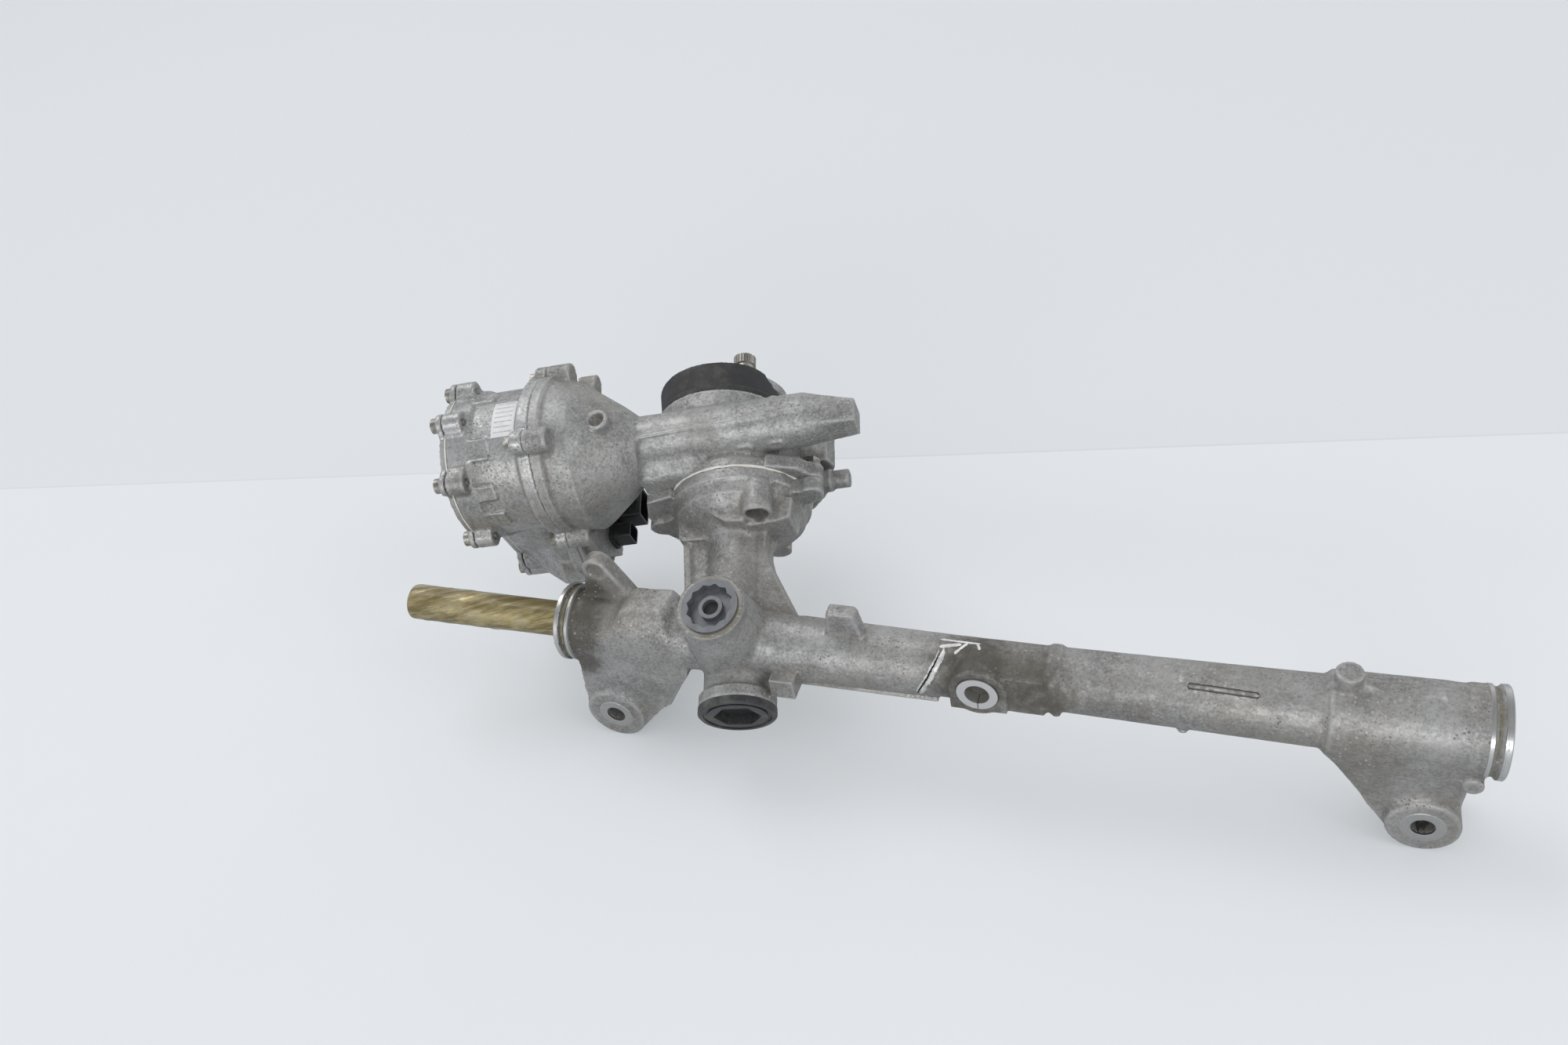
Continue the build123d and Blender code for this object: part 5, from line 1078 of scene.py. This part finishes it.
# ------------------------------------------------------------------ studio
@dataclass
class Studio:
    """Floor sheet, lamps, world and camera."""

    eye: Vector = Vector((0.4606, -0.5827, 0.6477))
    right: Vector = Vector((0.9400, 0.3024, -0.1577))
    up: Vector = Vector((-0.0829, 0.6511, 0.7544))
    back: Vector = Vector((0.3309, -0.6961, 0.6371))
    lens: float = 30.592
    floor_drop: float = -0.09224
    floor_tilt: float = 0.00827
    world_strength: float = 0.72

    def camera(self) -> None:
        """Sets the camera at the viewing point."""
        data = bpy.data.cameras.new("camera")
        data.lens = self.lens
        data.sensor_width = SENSOR_WIDTH
        data.clip_end = 50.0
        camera = bpy.data.objects.new("camera", data)
        bpy.context.scene.collection.objects.link(camera)
        turn = Matrix((self.right, self.up, self.back)).transposed().to_4x4()
        camera.matrix_world = Matrix.Translation(self.eye) @ turn
        bpy.context.scene.camera = camera

    def lamp(
        self, name: str, place: Vector, target: Vector, size: float, power: float, tall: float = 1.0
    ) -> None:
        """Adds one softbox.

        Args:
            name: The lamp's name.
            place: Where it hangs.
            target: What it points at.
            size: Its width in metres.
            power: Its power in watts.
            tall: Its height as a share of its width.
        """
        data = bpy.data.lights.new(name, "AREA")
        data.shape = "RECTANGLE"
        data.size = size
        data.size_y = size * tall
        data.energy = power
        lamp = bpy.data.objects.new(name, data)
        lamp.location = place
        lamp.rotation_mode = "QUATERNION"
        lamp.rotation_quaternion = (target - place).to_track_quat("-Z", "Y")
        bpy.context.scene.collection.objects.link(lamp)

    def floor(self) -> None:
        """Lays the sheet that the gear stands on."""
        shape = bmesh.new()
        bmesh.ops.create_circle(shape, cap_ends=True, radius=6.0, segments=64)
        mesh = bpy.data.meshes.new("table")
        shape.to_mesh(mesh)
        shape.free()
        table = new_piece("table", mesh)
        table.location = (0.0, 0.0, self.floor_drop)
        table.rotation_euler = (0.0, -self.floor_tilt, 0.0)
        table.data.materials.append(TableSheet().make())

    def world(self) -> None:
        """Even pale surroundings, with a darker ceiling in what metal reflects."""
        world = bpy.data.worlds.new("surroundings")
        world.use_nodes = True
        bpy.context.scene.world = world
        graph = Graph(world.node_tree)
        background = next(n for n in world.node_tree.nodes if n.type == "BACKGROUND")
        height = graph.add(
            "ShaderNodeSeparateXYZ", {0: graph.add("ShaderNodeTexCoord").outputs["Generated"]}
        ).outputs[2]
        colour = graph.blend(graph.step(height, -0.1, 0.75), (0.80, 0.82, 0.85), (1.0, 1.0, 1.0))
        mirrored = graph.blend(graph.step(height, 0.15, 0.95), (1.05, 1.07, 1.10), (0.34, 0.35, 0.37))
        glossy = graph.add("ShaderNodeLightPath").outputs["Is Glossy Ray"]
        graph.feed(background.inputs["Color"], graph.blend(glossy, colour, mirrored))
        background.inputs["Strength"].default_value = self.world_strength

    def build(self) -> None:
        """Sets up the whole studio."""
        middle = Vector((0.24, 0.05, 0.0))
        self.camera()
        self.floor()
        self.world()
        self.lamp("left_softbox", Vector((-1.9, 1.3, 4.0)), middle, 2.4, 44.0)
        self.lamp("right_softbox", Vector((3.6, -0.9, 3.2)), middle, 2.0, 28.0)
        self.lamp("front_strip", Vector((0.3, -4.1, 1.45)), middle, 3.6, 44.0, tall=0.2)
        LOG.info("studio ready")


# ------------------------------------------------------------------ the gear
class SteeringGear:
    """The whole steering gear, dressed piece by piece."""

    def __init__(self) -> None:
        """Builds the finishes that pieces share."""
        EffectLibrary().build()
        self.cast = CastAluminium().make()
        self.motor_cast = CastAluminium(
            "motor_aluminium", pale=(0.60, 0.60, 0.60), bloom=0.35, grime=0.35, roughness=0.38
        ).make()
        self.rubber = Moulding(
            "black_rubber_skin", (0.030, 0.030, 0.032), dusting=0.22, roughness=0.62
        ).make()
        self.plastic = Moulding(
            "black_plastic_skin", (0.028, 0.029, 0.032), dusting=0.25, roughness=0.42
        ).make()
        # Painted shade: a dark strip with a little dust stands for the shade along the long slot's edges.
        self.slot_outline_shade = Moulding(
            "slot_painted_shade", (0.075, 0.070, 0.060), dust=(0.16, 0.15, 0.13), dusting=0.5, roughness=0.7
        ).make()
        self.slot_skin = PlatedSteel(
            "slot_rib_skin", (0.44, 0.44, 0.43), (0.24, 0.24, 0.23), rusting=0.1, roughness=0.5, metallic=0.6
        ).make()
        self.grease = Grease().make()
        self.seat_grease = Moulding(
            "seat_grease", (0.16, 0.15, 0.085), dust=(0.33, 0.31, 0.20), dusting=0.8, roughness=0.42
        ).make()

    @staticmethod
    def block(*corners: tuple[float, float, float]) -> list[Vector]:
        """Corners in metres from corners in millimetres."""
        return [Vector(corner) * MM for corner in corners]

    def castings(self) -> None:
        """Casts the four housings and the seal."""
        rack_stains = (
            (Vector((0.300, -0.014, 0.008)), 0.050, 0.72), (Vector((0.342, -0.012, 0.002)), 0.040, 0.66),
            (Vector((0.014, -0.014, 0.010)), 0.034, 0.95), (Vector((0.014, 0.010, 0.024)), 0.032, 0.95),
            (Vector((0.014, -0.020, -0.014)), 0.026, 0.80), (Vector((0.0285, -0.02, -0.0695)), 0.030, 0.30),
            (Vector((0.392, -0.020, -0.008)), 0.040, 0.40),
            (Vector((0.127, -0.02, -0.02)), 0.045, 0.25), (Vector((0.592, -0.01, 0.0)), 0.034, 0.50))
        wall = [
            gear_point(along, height, out)
            for along in (19.5, 25.5) for height in (83.6, 93.0) for out in (44.9, 47.2)
        ]
        left_cheek = self.block(
            (13, -24.2, -3), (92, -24.2, -3), (9, -22.2, -36), (84, -22.2, -36),
            (13, -22.4, -3), (92, -22.4, -3), (9, -12, -36), (84, -12, -36))
        shoulder = self.block(
            (50, -13, 30.5), (84, -13, 30.5), (44, -22.4, 17.5), (89, -22.4, 17.5), (44, -24.3, 2),
            (90, -24.3, 2), (50, -3, 30.5), (84, -3, 30.5), (44, -17.6, 2), (90, -17.6, 2))
        right_cheek = self.block(
            (514, -25.9, -4), (592, -25.9, -4), (531, -20.2, -45), (590, -20.2, -45),
            (514, -22.7, -4), (592, -22.7, -4), (531, -9, -45), (590, -9, -45))
        fills = (wall, left_cheek, shoulder, right_cheek)
        blends = (
            (Vector((0.062, -0.020, 0.022)), 0.036), (Vector((0.046, -0.024, -0.022)), 0.036),
            (Vector((0.550, -0.024, -0.020)), 0.038), (Vector((0.437, -0.0087, 0.0227)), 0.017),
            (Vector((0.463, -0.0087, 0.0227)), 0.017))
        casting = CastPiece(
            "rack_housing", "cast_housing", self.cast, stains=rack_stains, pads=fills, softened=blends
        ).build()
        self.rack_skin = SkinProbe(casting)
        worm_stains = (
            (gear_point(0.0, 128.0, 26.0), 0.045, 0.25), (gear_point(-66.0, 132.0, 30.0), 0.030, 0.30)
        )
        web = [gear_point(*corner) for corner in (
            (-64, 117, 29), (-64, 119, 43), (-66, 142, 28), (-66, 142, 57), (-40, 117, 30),
            (-40, 120, 46), (-12, 123, 40), (-12, 125, 50), (-12, 142, 34), (-12, 142, 57))]
        blends = ((gear_point(-44.0, 128.0, 46.0), 0.024),)
        CastPiece(
            "worm_housing", "cast_housing", self.cast, stains=worm_stains, pads=(web,), softened=blends
        ).build()
        CastPiece("motor_housing", "cast_housing", self.motor_cast, step=1.0 * MM, rounds=6).build()
        CastPiece("motor_cover", "cast_housing", self.motor_cast, step=1.0 * MM, rounds=5).build()
        CastPiece(
            "dash_seal", "black_rubber", self.rubber, step=0.9 * MM, rounds=9, ripple=0.05 * MM, droop=0.42,
            droop_from=0.186
        ).build()

    def machined(self) -> None:
        """Turns the seats and spot faces that were cut on the castings."""
        seat = (
            (0.0, 22.05), (-0.06, 27.3), (0.5, 28.04), (3.1, 28.04), (3.6, 27.4), (3.75, 25.75),
            (7.85, 25.75), (8.0, 27.1), (8.5, 27.7), (10.3, 27.7), (10.9, 27.1), (11.6, 25.0))
        TurnedRing("left_seat_turned", Vector((0.0, 0.0, 0.0)), RACK_DIR, seat, soil=0.5).build()
        smeared = ((3.7, 25.9), (4.3, 26.25), (5.4, 26.1), (6.6, 26.3), (7.9, 25.9))
        TurnedRing(
            "left_groove_grease", Vector((0.0, 0.0, 0.0)), RACK_DIR, smeared, finish=self.seat_grease
        ).build()
        moved = tuple((along + 1.0, radius - 0.06) for along, radius in smeared)
        far_end = Vector((0.608, 0.0, 0.0))
        TurnedRing("right_groove_grease", far_end, -RACK_DIR, moved, finish=self.seat_grease).build()
        right = (
            (0.0, 22.05), (-0.06, 27.3), (0.6, 28.04), (4.0, 28.04), (4.45, 27.3), (4.55, 25.68),
            (8.95, 25.68), (9.0, 27.2), (9.4, 27.68), (11.6, 27.68), (12.0, 27.1), (12.3, 25.0))
        TurnedRing("right_seat_turned", far_end, -RACK_DIR, right).build()
        out = Vector((0.0, -1.0, 0.0))
        face = ((-1.2, 7.05), (-0.02, 7.05), (0.12, 7.6), (0.12, 12.9), (-0.25, 13.5))
        for name, x, z in (("left", 28.5, -69.5), ("right", 572.5, -66.0)):
            centre = Vector((x, -25.0, z)) * MM
            TurnedRing(name + "_lug_face", centre, out, face, soil=0.45 if name == "left" else 0.2).build()
            bore = ((-0.5, 6.97), (-44.5, 6.97))
            TurnedRing(name + "_lug_bore_turned", centre, out, bore, soil=0.4).build()
        rim = ((-1.5, 19.55), (0.05, 19.55), (0.08, 20.1), (0.05, 22.6), (-0.5, 23.2))
        TurnedRing(
            "yoke_rim_turned", RACK_CROSSING + YOKE_DIR * 55 * MM, YOKE_DIR, rim,
            bright=(0.36, 0.35, 0.33), dark=(0.24, 0.23, 0.21), soil=0.85, roughness=0.48
        ).build()

    def tube_marks(self) -> None:
        """Lays the crack beside the middle pad, its bare lips and the plain paint strokes over it."""
        crack = ((277.6, 10.0), (277.2, 24.0), (274.5, 45.0), (269.7, 74.0), (265.0, 98.0), (262.5, 116.0))
        gap = Moulding("crack_shadow", (0.012, 0.011, 0.010), dusting=0.0, roughness=0.9).make()
        bare = PlatedSteel(
            "torn_metal", (0.80, 0.80, 0.79), (0.52, 0.52, 0.51), rusting=0.0, roughness=0.42, metallic=0.4
        ).make()
        paint = Moulding(
            "marker_paint", (0.82, 0.82, 0.82), dust=(0.45, 0.45, 0.44), dusting=0.45, roughness=0.5
        ).make()
        SkinRibbon(
            "crack_lip_wide", crack, 3.0, 0.30, ragged=0.45, shift=-2.0, taper=0.10
        ).build(self.rack_skin, bare)
        SkinRibbon(
            "crack_lip_thin", crack, 1.2, 0.22, ragged=0.6, shift=1.1, taper=0.2
        ).build(self.rack_skin, bare)
        SkinRibbon("crack_gap", crack[1:], 1.2, 0.34, ragged=0.55, taper=0.25).build(self.rack_skin, gap)
        strokes = {
            "paint_stroke_long": (
                (275.0, -9.8), (302.4, -9.9)
            ), "paint_stroke_slant": ((286.6, 19.9), (293.8, -7.8)),
            "paint_stroke_short": (
                (299.9, -8.7), (302.9, 10.9)
            ), "paint_stroke_crack": ((276.0, 9.0), (290.0, -3.0))}
        slot = ((431.0, 29.0), (473.5, 31.5))
        # A dark strip of painted shade outlines the long slot, and a raised rib is laid over its middle.
        SkinRibbon(
            "long_slot_shadow", slot, 3.6, 0.16, ragged=0.15, taper=0.03
        ).build(self.rack_skin, self.slot_outline_shade)
        SkinRibbon(
            "long_slot_rib", slot, 2.0, 0.55, ragged=0.1, taper=0.05
        ).build(self.rack_skin, self.slot_skin)
        for name, line in strokes.items():
            SkinRibbon(
                name, line, 2.6 if name.endswith("crack") else 1.8, 0.05, ragged=0.25, taper=0.08
            ).build(self.rack_skin, paint)

    def dress_nodes(self) -> None:
        """Gives every carried-over node its finish."""
        steel = PlatedSteel(
            "ground_steel", (0.56, 0.56, 0.55), (0.36, 0.36, 0.36), rusting=0.05, roughness=0.24
        ).make()
        zinc = PlatedSteel("zinc_screws").make()
        spring = PlatedSteel("spring_wire", (0.3, 0.3, 0.3), (0.2, 0.2, 0.2), rusting=0.1).make()
        sleeve = TurnedMetal(
            "sleeve_metal", Vector((0.3041, 0.0, 0.0040)), Vector((0, 1, 0)), (0.84, 0.84, 0.83),
            (0.68, 0.68, 0.67), soil=0.1, roughness=0.38
        ).make()
        stub = TurnedMetal(
            "stub_metal", PINION_POINT, PINION_DIR, (0.62, 0.60, 0.57), (0.40, 0.38, 0.35), soil=0.35,
            roughness=0.34
        ).make()
        cap = Moulding("cap_coat", (0.055, 0.056, 0.060), dusting=0.55, roughness=0.30, metallic=0.2).make()
        plug = Moulding(
            "plug_coat", (0.20, 0.21, 0.225), dust=(0.27, 0.25, 0.22), dusting=0.35, roughness=0.40,
            metallic=0.45
        ).make()
        nylon = Moulding("natural_nylon", (0.72, 0.70, 0.62), dusting=0.05, roughness=0.45).make()
        bronze = PlatedSteel("sintered_bronze", (0.62, 0.46, 0.24), (0.4, 0.28, 0.12), rusting=0.0).make()
        copper = PlatedSteel("enamelled_copper", (0.60, 0.26, 0.11), (0.36, 0.14, 0.06), rusting=0.0).make()
        sheet = PlatedSteel("stacked_sheet", (0.32, 0.33, 0.35), (0.2, 0.2, 0.22), rusting=0.1).make()
        magnet = Moulding("magnet_coat", (0.16, 0.16, 0.18), dusting=0.0, roughness=0.35, metallic=0.4).make()
        board = Moulding("solder_mask", (0.03, 0.16, 0.07), dusting=0.0, roughness=0.3).make()
        bead = Moulding(
            "sealant_skin", (0.80, 0.79, 0.75), dust=(0.50, 0.47, 0.40), dusting=0.4, roughness=0.5
        ).make()
        SealantBead().build(bead)
        label = RuledPaper().make()
        finishes = {
            steel: "rack_bar pinion_shaft torsion_bar worm_shaft motor_shaft coupling_hubs wheel_hub "
                   "wheel_nut pinion_outer_rings pinion_inner_rings pinion_ball_rings worm_outer_rings "
                   "worm_inner_rings worm_ball_rings "
                   "motor_outer_rings motor_inner_rings bearing_clip worm_clip bushing_ring",
            zinc: "bowl_bolts cover_screws flange_bolts sensor_cup",
            spring: "yoke_spring",
            sleeve: "pad_sleeve",
            stub: "input_shaft",
            cap: "pinion_cap",
            plug: "yoke_plug",
            nylon: "wheel_rim rack_bushing yoke_liner",
            bronze: "input_bushing",
            copper: "stator_windings socket_pins",
            sheet: "stator_core rotor_core",
            magnet: "rotor_magnets sensor_magnet",
            board: "control_board",
            bead: "joint_bead cover_gasket",
            label: "bare_label",
            self.rubber: "input_seal yoke_seal stop_rings coupling_spider plug_core",
            self.plastic: "power_socket signal_socket sensor_block board_parts",
            self.cast: "yoke",
            self.motor_cast: "sensor_cover",
        }
        for material, names in finishes.items():
            for name in names.split():
                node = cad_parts[name]
                node.data.materials.clear()
                node.data.materials.append(material)
        LOG.info("dressed the carried-over nodes")

    def build(self) -> None:
        """Builds and dresses everything."""
        self.castings()
        self.machined()
        self.tube_marks()
        GreasedBar().build(self.grease)
        self.dress_nodes()


def main() -> None:
    logging.basicConfig(level=logging.INFO, format="%(name)s %(message)s")
    bpy.context.scene.view_settings.view_transform = "Standard"
    Studio().build()
    SteeringGear().build()


if __name__ == "__main__":
    main()
